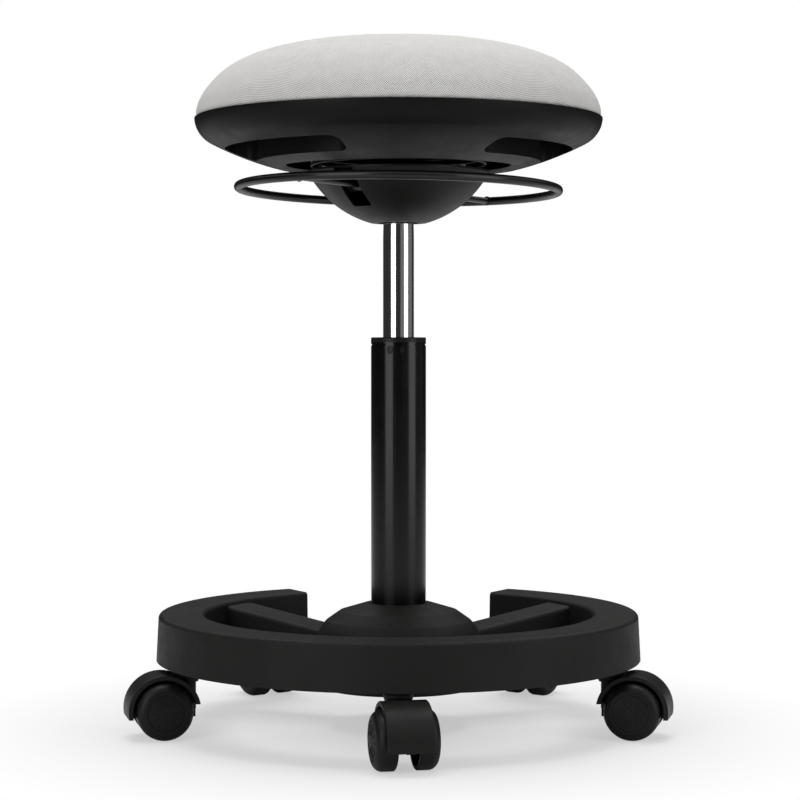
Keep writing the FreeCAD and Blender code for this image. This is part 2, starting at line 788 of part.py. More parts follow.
def tilt_mount():
    """The casting on the cylinder's taper: socket, flange for the spring plate and lever yoke."""
    web_bottom = mount_top - mount_bridge
    half_slot = lever_slot_width / 2
    hub = rod(mount_radius, mount_bottom, mount_top)
    flange = rod(mount_flange_radius, mount_top - mount_flange_height, mount_top)
    ribs = []
    for i in range(mount_rib_count):
        azimuth = spoke_azimuth + 360 * (i + 0.5) / mount_rib_count
        rib_top = mount_top - mount_flange_height / 2
        rib_end = -mount_flange_radius + mount_rib_inset
        corners = [place(0, -mount_radius + 1, rib_top), place(0, rib_end, rib_top),
                   place(0, rib_end, mount_top - mount_flange_height - mount_rib_tip),
                   place(0, -mount_radius + 1, mount_bottom + mount_rib_foot)]
        face = Part.Face(Part.makePolygon(corners + corners[:1]))
        rib = face.extrude(place(mount_rib_wall, 0, 0))
        rib.translate(place(-mount_rib_wall / 2, 0, 0))
        ribs.append(turned(rib, azimuth))
    spot = pivot_point()
    cheek_half = lever_barrel_length / 2 + lever_side_gap + lever_cheek_wall
    cheek = block(-cheek_half, cheek_half, -lever_pivot_radius - lever_cheek_radius,
                  -lever_pivot_radius + lever_cheek_radius, spot.z, mount_top - 1)
    cheeks = joined([turned(cheek, spoke_azimuth), across_bar(lever_cheek_radius, cheek_half, spot)])
    yoke_half = lever_barrel_length / 2 + lever_side_gap
    yoke_gap = turned(block(-yoke_half, yoke_half, -mount_flange_radius - 5,
                            -mount_radius - mount_yoke_length, mount_bottom - 1,
                            mount_top - mount_flange_height), spoke_azimuth)
    slot = turned(block(-half_slot, half_slot, -mount_flange_radius - 5, mount_radius + 5,
                        lever_slot_bottom, web_bottom), spoke_azimuth)
    body = joined([hub, flange] + ribs + [cheeks])
    taper = [(0, mount_bottom), (cylinder_head_radius(mount_bottom), mount_bottom),
             (cylinder_head_radius(cylinder_top), cylinder_top),
             (cylinder_head_radius(cylinder_top), lever_slot_bottom), (0, lever_slot_bottom)]
    holes = [slot, yoke_gap, spun(taper), rod(stud_radius, web_bottom, mount_top),
             across_bar(lever_pin_radius, cheek_half, spot)]
    return body.cut(Part.makeCompound(holes))


def lever_pivot_pin():
    half = lever_barrel_length / 2 + lever_side_gap + lever_cheek_wall
    spot = pivot_point()
    across = place(0, 0, 1).cross(lever_direction())
    pin = across_bar(lever_pin_radius, half, spot)
    heads = []
    for side in (-1, 1):
        heads.append(Part.makeCylinder(lever_pin_head, lever_pin_head_height,
                                       spot + across * (side * half), across * side))
    return joined([pin] + heads)


def hand_ring():
    """The grip ring, the two spokes in one bar and the pivot barrel, welded together."""
    grip = Part.makeTorus(ring_grip_radius, ring_grip_wire, place(0, 0, lever_z))
    bar = Part.makeCylinder(spoke_wire, 2 * ring_grip_radius, place(0, -ring_grip_radius, lever_z),
                            place(0, 1, 0))
    barrel = Part.makeCylinder(lever_barrel_radius, lever_barrel_length,
                               place(-lever_barrel_length / 2, -lever_pivot_radius, lever_z), place(1, 0, 0))
    bore = Part.makeCylinder(lever_pin_radius + running_gap, lever_barrel_length,
                             place(-lever_barrel_length / 2, -lever_pivot_radius, lever_z), place(1, 0, 0))
    return lever_tilted(joined([grip, bar, barrel]).cut(bore))


def lever_pad():
    half = lever_pad_width / 2
    low = lever_z - spoke_wire - lever_pad_height
    pad = block(-half, half, -half, half, low, lever_z)
    bar = Part.makeCylinder(spoke_wire, 2 * ring_grip_radius, place(0, -ring_grip_radius, lever_z),
                            place(0, 1, 0))
    cap = block(-half, half, -half, half, lever_z - 0.5 * spoke_wire, lever_z + 1)
    return lever_tilted(pad.cut(cap).cut(bar))


def spring_cover():
    """The round lower cup, with slots for the spokes and bosses for its screws."""
    centre_z = cup_bottom + math.sqrt(cup_sphere_radius ** 2 - cup_flat_radius ** 2)
    centre = (0, centre_z)

    def bowl(radius, low):
        rim = math.sqrt(radius ** 2 - (cup_top - centre_z) ** 2)
        flat = math.sqrt(radius ** 2 - (low - centre_z) ** 2)
        way = half_way(centre, radius, (flat, low), (rim, cup_top))
        return spun([(0, low), (flat, low), (way, (rim, cup_top)), (0, cup_top)])

    outer = bowl(cup_sphere_radius, cup_bottom)
    inner = bowl(cup_sphere_radius - cup_wall, cup_bottom + cup_wall)
    cup = outer.cut(inner)
    bosses = []
    holes = [rod(cup_hole_radius, cup_bottom, cup_top)]
    for azimuth in cup_screw_azimuths():
        boss = rod(cup_boss_radius, cup_top - cup_boss_length, cup_top, 0, -cup_screw_pitch_radius)
        bosses.append(turned(boss, azimuth).common(outer))
        hole = rod(cup_screw_radius, cup_top - cup_screw_length, cup_top, 0, -cup_screw_pitch_radius)
        holes.append(turned(hole, azimuth))
    reach = cup_sphere_radius + 5
    slot = block(-slot_width / 2, slot_width / 2, -reach, reach, cup_bottom + slot_rise, cup_top)
    low_edges = [e for e in slot.Edges if e.BoundBox.ZMax < cup_bottom + slot_rise + 1e-3
                 and e.BoundBox.YLength > reach]
    slot = slot.makeFillet(slot_corner, low_edges)
    slot = slot.cut(rod(mount_radius + 10, cup_bottom, cup_top))
    holes.append(turned(slot, spoke_azimuth))
    return joined([cup] + bosses).cut(Part.makeCompound(holes))


def cup_screw_azimuths():
    return [spoke_azimuth + 90 + 360 * i / cup_screw_count for i in range(cup_screw_count)]


def cover_screws():
    screws = []
    for azimuth in cup_screw_azimuths():
        head = rod(cup_screw_head, spring_seat, spring_seat + cup_screw_head_height,
                   0, -cup_screw_pitch_radius)
        shank = rod(cup_screw_radius, cup_top - cup_screw_length + 1, spring_seat,
                    0, -cup_screw_pitch_radius)
        screws.append(turned(joined([head, shank]), azimuth))
    return Part.makeCompound(screws)


def lower_spring_plate():
    """The pressed plate on the mount that seats the spring and closes the cup."""
    holes = [rod(stud_radius, cup_top, spring_seat)]
    for azimuth in cup_screw_azimuths():
        holes.append(turned(rod(cup_screw_radius, cup_top, spring_seat, 0, -cup_screw_pitch_radius),
                            azimuth))
    for i in range(plate_lightening_count):
        azimuth = spoke_azimuth + 360 * i / plate_lightening_count
        holes.append(turned(rod(plate_lightening_radius, cup_top, spring_seat, 0, -plate_lightening_pitch),
                            azimuth))
    plate = spun([(0, cup_top), (plate_radius, cup_top), (plate_radius, spring_seat - 0.5),
                  (plate_radius - 0.5, spring_seat), (0, spring_seat)])
    return plate.cut(Part.makeCompound(holes))


def ball_stud():
    """Shank in the mount, collar on the plate, neck and ball."""
    shank_low = mount_top - mount_bridge
    collar_top_z = spring_seat + stud_collar_height
    neck = stud_radius - 1.0
    neck_z = ball_z - math.sqrt(ball_radius ** 2 - neck ** 2)
    low = math.sin(math.radians(-20)) * ball_radius
    way = (math.cos(math.radians(-20)) * ball_radius, ball_z + low)
    steps = [(0, shank_low), (stud_radius, shank_low), (stud_radius, spring_seat),
             (stud_collar_radius, spring_seat), (stud_collar_radius, collar_top_z - 1),
             (stud_collar_radius - 1, collar_top_z), (neck, collar_top_z), (neck, neck_z),
             (way, (ball_radius, ball_z)),
             ((ball_radius * math.sqrt(0.5), ball_z + ball_radius * math.sqrt(0.5)),
              (0, ball_z + ball_radius))]
    return spun(steps)


def spherical_cup(inner, outer, skirt):
    """A dome over the ball, with a skirt below the ball's centre."""
    inner_foot = math.sqrt(inner ** 2 - skirt ** 2)
    outer_foot = math.sqrt(outer ** 2 - skirt ** 2)
    low = ball_z - skirt
    steps = [(inner_foot, low), (outer_foot, low), ((outer, ball_z), (0, ball_z + outer)),
             (0, ball_z + inner), ((inner, ball_z), (inner_foot, low))]
    return spun(steps)


def ball_liner():
    inner = ball_radius + joint_gap
    return spherical_cup(inner, inner + liner_wall, liner_skirt)


def ball_socket():
    """The housing under the upper plate that holds the liner and the ball."""
    cavity = ball_radius + 2 * joint_gap + liner_wall
    low = ball_z - socket_skirt
    foot = math.sqrt(cavity ** 2 - socket_skirt ** 2)
    flange_low = upper_plate_bottom - socket_flange_height
    steps = [(foot, low), (socket_radius - 2, low), (socket_radius, low + 2), (socket_radius, flange_low),
             (socket_flange_radius, flange_low), (socket_flange_radius, upper_plate_bottom),
             (0, upper_plate_bottom), (0, ball_z + cavity), ((cavity, ball_z), (foot, low))]
    return spun(steps)


def biarc_edges(point, direction, turns, steps_per_turn):
    """Arcs that follow a curve given by its point and direction: two tangent arcs for each step."""
    edges = []
    count = int(round(turns * steps_per_turn))
    for i in range(count):
        a, b = point(i / steps_per_turn), point((i + 1) / steps_per_turn)
        ta, tb = direction(i / steps_per_turn), direction((i + 1) / steps_per_turn)
        gap = b - a
        along = gap.dot(ta + tb)
        spread = 2 * (1 - ta.dot(tb))
        reach = (math.sqrt(along ** 2 + spread * gap.dot(gap)) - along) / spread
        qa, qb = a + ta * reach, b - tb * reach
        middle = (qa + qb) * 0.5
        for start, corner, end in ((a, qa, middle), (middle, qb, b)):
            chord = (start + end) * 0.5
            cosine = (end - start).normalize().dot((corner - start).normalize())
            way = chord + (corner - chord) * (cosine / (1 + cosine))
            edges.append(Part.Arc(start, way, end).toShape())
    return edges


def wobble_spring():
    """One unbroken coil between the two spring plates."""
    wire = spring_wire / 2
    radius = spring_radius - wire
    rise = spring_height - spring_wire - 2 * small_gap
    low = spring_seat + wire + small_gap
    pitch = rise / spring_turns

    def point(turn):
        angle = 2 * math.pi * turn
        return place(radius * math.cos(angle), radius * math.sin(angle), low + pitch * turn)

    def direction(turn):
        angle = 2 * math.pi * turn
        return place(-radius * math.sin(angle), radius * math.cos(angle), pitch / (2 * math.pi)).normalize()

    path = Part.Wire(biarc_edges(point, direction, spring_turns, 2))
    section = Part.Wire([Part.Circle(point(0), direction(0), wire).toShape()])
    coil = path.makePipeShell([section], True, False)
    report_self_gap(path, spring_wire, 2 * math.pi * radius / 2)
    return coil


def report_self_gap(path, thickness, skip):
    """Prints the least gap between turns, measured on points along the path."""
    points = path.discretize(Distance=3.0)
    step = path.Length / (len(points) - 1)
    apart = int(skip / step)
    least = 1e9
    for i in range(0, len(points), 2):
        for j in range(i + apart, len(points)):
            least = min(least, points[i].distanceToPoint(points[j]))
    print("coil: length %.0f, least gap between turns %.2f" % (path.Length, least - thickness))


def bolt_spots():
    return [45 + 360 * i / bolt_count for i in range(bolt_count)]


def upper_spring_plate():
    """The pressed plate under the seat board, with a lip outside the spring."""
    lip_low = upper_plate_bottom - upper_plate_lip
    plate = spun([(0, upper_plate_bottom), (upper_plate_radius - 2, upper_plate_bottom),
                  (upper_plate_radius - 2, lip_low), (upper_plate_radius, lip_low),
                  (upper_plate_radius, board_bottom), (0, board_bottom)])
    holes = [turned(rod(bolt_radius, upper_plate_bottom, board_bottom, 0, -bolt_pitch_radius), a)
             for a in bolt_spots()]
    return plate.cut(Part.makeCompound(holes))


def seat_bolts():
    bolts = []
    for azimuth in bolt_spots():
        low = upper_plate_bottom - bolt_head_height
        head = rod(bolt_head_radius, low, upper_plate_bottom, 0, -bolt_pitch_radius)
        shank = rod(bolt_radius, upper_plate_bottom, upper_plate_bottom + bolt_length,
                    0, -bolt_pitch_radius)
        drive = rod(bolt_socket_radius, low, low + bolt_socket_depth, 0, -bolt_pitch_radius)
        bolts.append(turned(joined([head, shank]).cut(drive), azimuth))
    return Part.makeCompound(bolts)


def tee_nuts():
    nuts = []
    for azimuth in bolt_spots():
        barrel = rod(tee_barrel_radius, board_top - tee_barrel_length, board_top, 0, -bolt_pitch_radius)
        flange = rod(tee_flange_radius, board_top, board_top + tee_flange_height, 0, -bolt_pitch_radius)
        bore = rod(bolt_radius, board_bottom, board_top + tee_flange_height + 1, 0, -bolt_pitch_radius)
        nuts.append(turned(joined([barrel, flange]).cut(bore), azimuth))
    return Part.makeCompound(nuts)


def shell_screw_spots():
    """The radius and the azimuths of the screws in the roofs of the grip pockets."""
    radius = shell_rim_radius - (pocket_inner_inset + pocket_outer_inset) / 2
    return radius, [p + side * shell_screw_angle for p in pocket_azimuths for side in (-1, 1)]


def seat_board():
    edge = board_edge
    board = spun([(0, board_bottom), (board_radius - edge, board_bottom), (board_radius, board_bottom + edge),
                  (board_radius, board_top - edge), (board_radius - edge, board_top), (0, board_top)])
    holes = []
    for azimuth in bolt_spots():
        holes.append(turned(rod(tee_barrel_radius, board_top - tee_barrel_length, board_top,
                                0, -bolt_pitch_radius), azimuth))
        holes.append(turned(rod(bolt_radius, board_bottom, board_top, 0, -bolt_pitch_radius), azimuth))
    radius, azimuths = shell_screw_spots()
    for azimuth in azimuths:
        holes.append(turned(rod(shell_screw_radius, board_bottom,
                                board_bottom - pocket_roof + shell_screw_length, 0, -radius), azimuth))
    return board.cut(Part.makeCompound(holes))


def shell_outline():
    """The shell's bowl: points and arc centres of its outside, from the lip to the rim."""
    foot = (shell_opening_radius + shell_foot_width, rim_z - shell_foot_drop)
    knee = (shell_rim_radius - shell_knee_inset, rim_z - shell_knee_drop)
    run, climb = knee[0] - foot[0], knee[1] - foot[1]
    chord = math.hypot(run, climb)
    middle = ((foot[0] + knee[0]) / 2 + shell_bowl_bulge * climb / chord,
              (foot[1] + knee[1]) / 2 - shell_bowl_bulge * run / chord)
    rim = (shell_rim_radius, rim_z - shell_rim_lip)
    bowl_centre, bowl_radius = circle_through(foot, middle, knee)
    knee_centre, knee_radius = circle_on(bowl_centre, knee, rim)
    return foot, middle, knee, rim, bowl_centre, bowl_radius, knee_centre, knee_radius


def grip_pocket(grow, low, high):
    """The space of one grip pocket at the front, grown by a wall."""
    inner = shell_rim_radius - pocket_inner_inset
    outer = shell_rim_radius - pocket_outer_inset
    half_angle = pocket_half_angle + math.degrees(grow / inner)
    return rounded_sector(inner - grow, outer + grow, half_angle, low, high, pocket_corner + grow)


def seat_shell():
    """The moulded bowl under the seat, with a rolled lip and three deep grip pockets."""
    foot, middle, knee, rim, bowl_centre, bowl_radius, knee_centre, knee_radius = shell_outline()
    lip_low = (shell_opening_radius + shell_lip_width, rim_z - shell_lip_drop)
    lip_end = (shell_opening_radius, rim_z - shell_opening_drop)
    lip_chord = math.hypot(lip_low[0] - lip_end[0], lip_low[1] - lip_end[1])
    lip_way = ((lip_end[0] + lip_low[0]) / 2 - shell_lip_bulge * (lip_end[1] - lip_low[1]) / lip_chord,
               (lip_end[1] + lip_low[1]) / 2 - shell_lip_bulge * (lip_low[0] - lip_end[0]) / lip_chord)
    rim_way = half_way(knee_centre, knee_radius, knee, rim)
    outside = [(0, rim_z), (0, lip_end[1]), lip_end, (lip_way, lip_low), foot, (middle, knee),
               (rim_way, rim), (shell_rim_radius, rim_z)]
    wall = shell_wall
    foot_in = moved_in(foot, bowl_centre, wall)
    knee_in = moved_in(knee, bowl_centre, wall)
    rim_in = moved_in(rim, knee_centre, wall)
    inside = [(0, rim_z + 1), (0, foot_in[1]), foot_in,
              (half_way(bowl_centre, bowl_radius - wall, foot_in, knee_in), knee_in),
              (half_way(knee_centre, knee_radius - wall, knee_in, rim_in), rim_in),
              (rim_in[0], rim_z + 1)]
    solid_bowl = spun(outside)
    space = spun(inside)
    opening = rod(shell_opening_radius, rim_z - shell_lip_drop - 5, rim_z)
    roof = board_bottom - pocket_roof
    boxes = []
    cuts = []
    for azimuth in pocket_azimuths:
        boxes.append(turned(grip_pocket(pocket_wall, rim_z - shell_lip_drop, board_bottom), azimuth))
        cuts.append(turned(grip_pocket(0, rim_z - shell_lip_drop - 5, roof), azimuth))
    walls = [box.common(solid_bowl) for box in boxes]
    body = joined([solid_bowl.cut(space).cut(opening)] + walls)
    radius, azimuths = shell_screw_spots()
    for azimuth in azimuths:
        cuts.append(turned(rod(shell_screw_radius, roof - 1, board_bottom, 0, -radius), azimuth))
    return body.cut(Part.makeCompound(cuts))


def shell_screws():
    roof = board_bottom - pocket_roof
    radius, azimuths = shell_screw_spots()
    screws = []
    for azimuth in azimuths:
        head = rod(shell_screw_head, roof - shell_screw_head_height, roof, 0, -radius)
        shank = rod(shell_screw_radius, roof, roof + shell_screw_length - 1, 0, -radius)
        screws.append(turned(joined([head, shank]), azimuth))
    return Part.makeCompound(screws)


def dome_outline(wall):
    """The cushion's crown, shoulder and side, moved in by a wall, as steps from the top."""
    top = (0, dome_top)
    crown = (shell_rim_radius - dome_crown_inset, dome_top - dome_crown_drop)
    shoulder = (shell_rim_radius - dome_shoulder_inset, dome_top - dome_shoulder_drop)
    side = (shell_rim_radius + dome_side_overhang, dome_top - dome_side_drop)
    crown_radius = (crown[0] ** 2 + dome_crown_drop ** 2) / (2 * dome_crown_drop)
    crown_centre = (0, dome_top - crown_radius)
    shoulder_centre, shoulder_radius = circle_on(crown_centre, crown, shoulder)
    side_centre, side_radius = circle_on(shoulder_centre, shoulder, side)
    edge = cover_edge + wall
    edge_reach = math.sqrt((side_radius - wall) ** 2 - (edge - side_centre[1]) ** 2)
    edge_point = (side_centre[0] + edge_reach, edge)
    top_in = (0, dome_top - wall)
    crown_in = moved_in(crown, crown_centre, wall)
    shoulder_in = moved_in(shoulder, shoulder_centre, wall)
    return [top_in,
            (half_way(crown_centre, crown_radius - wall, top_in, crown_in), crown_in),
            (half_way(shoulder_centre, shoulder_radius - wall, crown_in, shoulder_in), shoulder_in),
            (half_way(side_centre, side_radius - wall, shoulder_in, edge_point), edge_point)]


def seat_cover():
    """The fabric: a skin over the cushion with a hem turned in under the board."""
    outer = spun(dome_outline(0) + [(0, cover_edge)])
    inner = spun(dome_outline(cover_wall) + [(0, cover_edge + cover_wall)])
    hem_outer = shell_rim_radius - shell_wall - hem_gap
    hem = hollow(hem_outer, shell_rim_radius - hem_width, board_bottom - cover_wall, board_bottom)
    fold = hollow(hem_outer, hem_outer - cover_wall, board_bottom - cover_wall,
                  cover_edge + cover_wall)
    core = rod(hem_outer - cover_wall, board_bottom, dome_top)
    skin = outer.cut(inner).cut(core.common(rod(hem_outer, board_bottom, cover_edge + cover_wall)))
    return joined([skin, hem, fold])


def seat_foam():
    """The cushion: it fills the cover down to the board and round the board's edge."""
    hem_outer = shell_rim_radius - shell_wall - hem_gap
    block_top = spun(dome_outline(cover_wall) + [(0, cover_edge + cover_wall)])
    skirt = rod(hem_outer - cover_wall, board_bottom, cover_edge + cover_wall)
    foam = joined([block_top, skirt])
    cuts = [rod(board_radius, board_bottom, board_top)]
    for azimuth in bolt_spots():
        cuts.append(turned(rod(tee_flange_radius, board_top, board_top + tee_nut_recess,
                               0, -bolt_pitch_radius), azimuth))
    return foam.cut(joined(cuts))


def save(name, shape):
    os.makedirs("parts", exist_ok=True)
    shape.exportStep("parts/%s.step" % name)
    print("%s: %d solid(s), %.1f cm3" % (name, len(shape.Solids), shape.Volume / 1000))


single_pieces = [base_moulding, castor_sleeves, column_tube, column_bush, column_end_plate,
                 bearing_race_lower, piston_rod, piston, retaining_clip, bearing_race_upper,
                 bearing_balls, rubber_buffer, gas_cylinder, cylinder_seal, tilt_mount,
                 lower_spring_plate, ball_stud, lever_pivot_pin, spring_cover, cover_screws,
                 wobble_spring, hand_ring, lever_pad, valve_pin, ball_liner, ball_socket,
                 upper_spring_plate, seat_bolts, tee_nuts, seat_board, seat_shell, shell_screws,
                 seat_foam, seat_cover]

for make in single_pieces:
    save(make.__name__, make())

stem = castor_stem()
housing = castor_housing()
axle = castor_axle()
right_wheel = castor_wheel()
left_wheel = right_wheel.mirror(place(0, 0, 0), place(1, 0, 0))
for index in range(len(castor_azimuths)):
    number = index + 1
    save("castor_stem_%d" % number, turned(stem, castor_azimuths[index]))
    save("castor_housing_%d" % number, castor_pose(housing, index))
    save("castor_axle_%d" % number, castor_pose(axle, index))
    save("castor_wheel_%d_left" % number, castor_pose(left_wheel, index))
    save("castor_wheel_%d_right" % number, castor_pose(right_wheel, index))
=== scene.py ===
import bpy
import json
import math
from mathutils import Matrix, Vector


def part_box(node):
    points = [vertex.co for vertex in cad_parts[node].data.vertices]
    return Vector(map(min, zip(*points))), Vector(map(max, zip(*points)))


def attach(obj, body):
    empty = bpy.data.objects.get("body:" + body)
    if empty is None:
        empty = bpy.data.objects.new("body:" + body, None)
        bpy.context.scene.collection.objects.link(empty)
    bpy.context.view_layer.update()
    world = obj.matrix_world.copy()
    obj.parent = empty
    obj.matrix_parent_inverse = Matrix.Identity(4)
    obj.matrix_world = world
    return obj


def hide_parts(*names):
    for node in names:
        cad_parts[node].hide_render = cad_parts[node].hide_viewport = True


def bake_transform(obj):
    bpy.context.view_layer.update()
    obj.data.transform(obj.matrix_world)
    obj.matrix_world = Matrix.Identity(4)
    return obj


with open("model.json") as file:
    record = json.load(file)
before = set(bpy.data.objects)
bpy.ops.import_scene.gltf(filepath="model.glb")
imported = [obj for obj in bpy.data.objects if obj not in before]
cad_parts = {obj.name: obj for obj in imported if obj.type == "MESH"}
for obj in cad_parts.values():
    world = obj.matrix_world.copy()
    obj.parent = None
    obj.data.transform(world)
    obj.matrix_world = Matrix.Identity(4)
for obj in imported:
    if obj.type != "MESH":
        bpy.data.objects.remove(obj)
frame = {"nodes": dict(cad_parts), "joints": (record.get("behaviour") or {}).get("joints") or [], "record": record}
bpy.context.scene.view_settings.view_transform = "Standard"
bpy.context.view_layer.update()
joints = {joint["name"]: joint for joint in frame["joints"]}
print("frame loaded:", len(frame["nodes"]), "nodes")

# The stool in metres: +Z is up and the front faces -Y. The mechanical pieces come finished in the
# frame. Added here are the seat's fabric, the two halves of the coil, the lines on the wheels'
# caps, the weld beads on the hand ring, and the finish of every surface.


# Small helpers for modelling by hand

def letGo():
    if bpy.context.object and bpy.context.object.mode != "OBJECT":
        bpy.ops.object.mode_set(mode="OBJECT")
    bpy.ops.object.select_all(action="DESELECT")


def pick(piece):
    letGo()
    piece.select_set(True)
    bpy.context.view_layer.objects.active = piece


def started(name):
    piece = bpy.context.object            # the primitive that was just added
    piece.name = name
    piece.data.name = name
    return piece


def applyAll(piece):
    bpy.ops.object.mode_set(mode="OBJECT")
    bpy.context.view_layer.objects.active = piece
    for modifier in list(piece.modifiers):
        bpy.ops.object.modifier_apply(modifier=modifier.name)


def settle(piece):
    pick(piece)                           # the place goes into the mesh, the object to the origin
    bpy.ops.object.transform_apply(location=True, rotation=True, scale=True)


def smooth(piece, angle):
    pick(piece)
    bpy.ops.object.shade_smooth_by_angle(angle=math.radians(angle))


# Small helpers for materials: a node tree to lay nodes on

class Board:
    def __init__(self, tree):
        self.tree = tree
        self.tree.nodes.clear()

    def add(self, kind, **settings):
        node = self.tree.nodes.new(kind)
        for key, value in settings.items():
            setattr(node, key, value)
        return node

    def wire(self, source, target):
        # A number or a colour is set on the socket, and an output is linked to it.
        if isinstance(source, (int, float, tuple)):
            target.default_value = source
        else:
            self.tree.links.new(source, target)

    def fed(self, kind, values, **settings):
        # A node whose sockets, by name or by place, get the values.
        node = self.add(kind, **settings)
        for key, value in values.items():
            self.wire(value, node.inputs[key])
        return node

    def sum(self, operation, *values):
        return self.fed("ShaderNodeMath", dict(enumerate(values)), operation=operation).outputs[0]

    def blendColour(self, share, first, second):
        values = {0: share, 6: first, 7: second}
        return self.fed("ShaderNodeMix", values, data_type="RGBA").outputs[2]

    def ramp(self, value, low, high, start=0.0, end=1.0):
        values = dict(enumerate((value, low, high, start, end)))
        return self.fed("ShaderNodeMapRange", values).outputs[0]

    def noise(self, place, scale, detail=2.0, rough=0.5):
        values = {"Vector": place, "Scale": scale, "Detail": detail, "Roughness": rough}
        return self.fed("ShaderNodeTexNoise", values).outputs["Fac"]

    def stretch(self, place, scale, turn=(0.0, 0.0, 0.0)):
        values = {"Vector": place, "Scale": scale, "Rotation": turn}
        return self.fed("ShaderNodeMapping", values).outputs[0]

    def upness(self):
        normal = self.add("ShaderNodeNewGeometry").outputs["Normal"]
        return self.fed("ShaderNodeSeparateXYZ", {0: normal}).outputs[2]

    def group(self, tree, **values):
        return self.fed("ShaderNodeGroup", values, node_tree=tree)


def newGroup(name, inputs, outputs):
    # Place is a vector, and every other socket carries a number.
    tree = bpy.data.node_groups.new(name, "ShaderNodeTree")
    for labels, way in ((inputs, "INPUT"), (outputs, "OUTPUT")):
        for label in labels:
            kind = "NodeSocketVector" if label == "Place" else "NodeSocketFloat"
            tree.interface.new_socket(name=label, in_out=way, socket_type=kind)
    board = Board(tree)
    return tree, board, board.add("NodeGroupInput").outputs, board.add("NodeGroupOutput").inputs


def newFinish(name, look):
    material = bpy.data.materials.new(name)
    material.use_nodes = True
    material.diffuse_color = (*look["colour"], 1)
    board = Board(material.node_tree)
    shader = board.fed("ShaderNodeBsdfPrincipled", {
        "Base Color": (*look["colour"], 1), "Roughness": look["roughness"],
        "Metallic": look.get("metallic", 0.0), "Specular IOR Level": look.get("specular", 0.5),
        "Coat Weight": look.get("coat", 0.0), "Coat Roughness": look.get("coatRoughness", 0.1),
    })
    board.fed("ShaderNodeOutputMaterial", {"Surface": shader.outputs[0]})
    where = board.add("ShaderNodeTexCoord").outputs["Object"]
    return material, board, shader, where


def layOn(board, shader, look, tone, height):
    # What every finish ends with: its colour and its relief.
    board.wire(tone, shader.inputs["Base Color"])
    bump = board.fed("ShaderNodeBump", {"Strength": look["bump"], "Distance": look["depth"],
                                        "Height": height})
    board.wire(bump.outputs[0], shader.inputs["Normal"])


# Effects that several finishes share

grainLook = {
    "smoothness": 0.6, "cellShare": 0.6, "pitFineness": 2.2, "pitShare": 0.5,
    "swell": (24.0, 3.0), "toneRange": (0.3, 0.7),
}

wearLook = {
    "patches": (38.0, 4.0, 0.6), "patchRange": (0.32, 0.68, -1.0, 1.0),
    "scuffStretch": (220.0, 60.0, 420.0), "scuffTurn": (0.3, 0.5, 0.9), "scuff": (1.0, 3.0, 0.7),
    "scuffRange": (0.62, 0.74), "scuffShare": 0.8,
    "upRange": (0.55, 0.98), "specks": (150.0, 5.0, 0.75), "speckRange": (0.35, 0.75),
}

meshLook = {
    "dotRange": (0.05, 0.65), "strands": (2600.0, 2.0, 0.6), "strandShare": 0.35,
    "slub": (90.0, 4.0, 0.65), "slubRange": (0.3, 0.7),
}


def makeMouldGrain():
    # The spark-eroded grain of a moulded face: fine pits over a slow swell.
    tree, board, given, out = newGroup("mouldGrain", ("Place", "Fineness"), ("Height", "Tone"))
    cells = board.fed("ShaderNodeTexVoronoi", {
        "Vector": given["Place"], "Scale": given["Fineness"], "Smoothness": grainLook["smoothness"],
    }, feature="SMOOTH_F1")
    finer = board.sum("MULTIPLY", given["Fineness"], grainLook["pitFineness"])
    pits = board.noise(given["Place"], finer)
    swell = board.noise(given["Place"], *grainLook["swell"])
    height = board.sum("ADD",
                       board.sum("MULTIPLY", cells.outputs["Distance"], grainLook["cellShare"]),
                       board.sum("MULTIPLY", pits, grainLook["pitShare"]))
    board.wire(height, out["Height"])
    board.wire(board.ramp(swell, *grainLook["toneRange"]), out["Tone"])
    return tree


def makeHandled():
    # What use leaves: dull and polished patches, fine scuffs, and dust on what faces up.
    tree, board, given, out = newGroup("handled", ("Place", "Level", "Spread", "Dust"),
                                       ("Roughness", "Dust"))
    patches = board.ramp(board.noise(given["Place"], *wearLook["patches"]), *wearLook["patchRange"])
    stretched = board.stretch(given["Place"], wearLook["scuffStretch"], wearLook["scuffTurn"])
    scuff = board.ramp(board.noise(stretched, *wearLook["scuff"]), *wearLook["scuffRange"])
    rough = board.sum("MULTIPLY_ADD", patches, given["Spread"], given["Level"])
    rise = board.sum("MULTIPLY", given["Spread"], wearLook["scuffShare"])
    rough = board.sum("MULTIPLY_ADD", scuff, rise, rough)
    upward = board.ramp(board.upness(), *wearLook["upRange"])
    specks = board.ramp(board.noise(given["Place"], *wearLook["specks"]), *wearLook["speckRange"])
    dust = board.sum("MULTIPLY", board.sum("MULTIPLY", upward, specks), given["Dust"])
    board.wire(rough, out["Roughness"])
    board.wire(dust, out["Dust"])
    return tree


def makeDotMesh():
    # A knitted mesh's lattice: staggered dots between crossing threads, on the cloth's own map.
    tree, board, given, out = newGroup("dotMesh", ("Place", "Pitch"), ("Height", "Dot", "Slub"))
    axes = board.fed("ShaderNodeSeparateXYZ", {0: given["Place"]}).outputs
    along, across = [
        board.sum("MULTIPLY", board.sum("DIVIDE", axis, given["Pitch"]), math.pi)
        for axis in (axes[0], axes[1])
    ]
    waves = board.sum("MULTIPLY", board.sum("COSINE", along), board.sum("COSINE", across))
    dot = board.ramp(waves, *meshLook["dotRange"])
    strands = board.noise(given["Place"], *meshLook["strands"])
    slub = board.ramp(board.noise(given["Place"], *meshLook["slub"]), *meshLook["slubRange"])
    height = board.sum("SUBTRACT", board.sum("MULTIPLY", strands, meshLook["strandShare"]), dot)
    board.wire(height, out["Height"])
    board.wire(dot, out["Dot"])
    board.wire(slub, out["Slub"])
    return tree


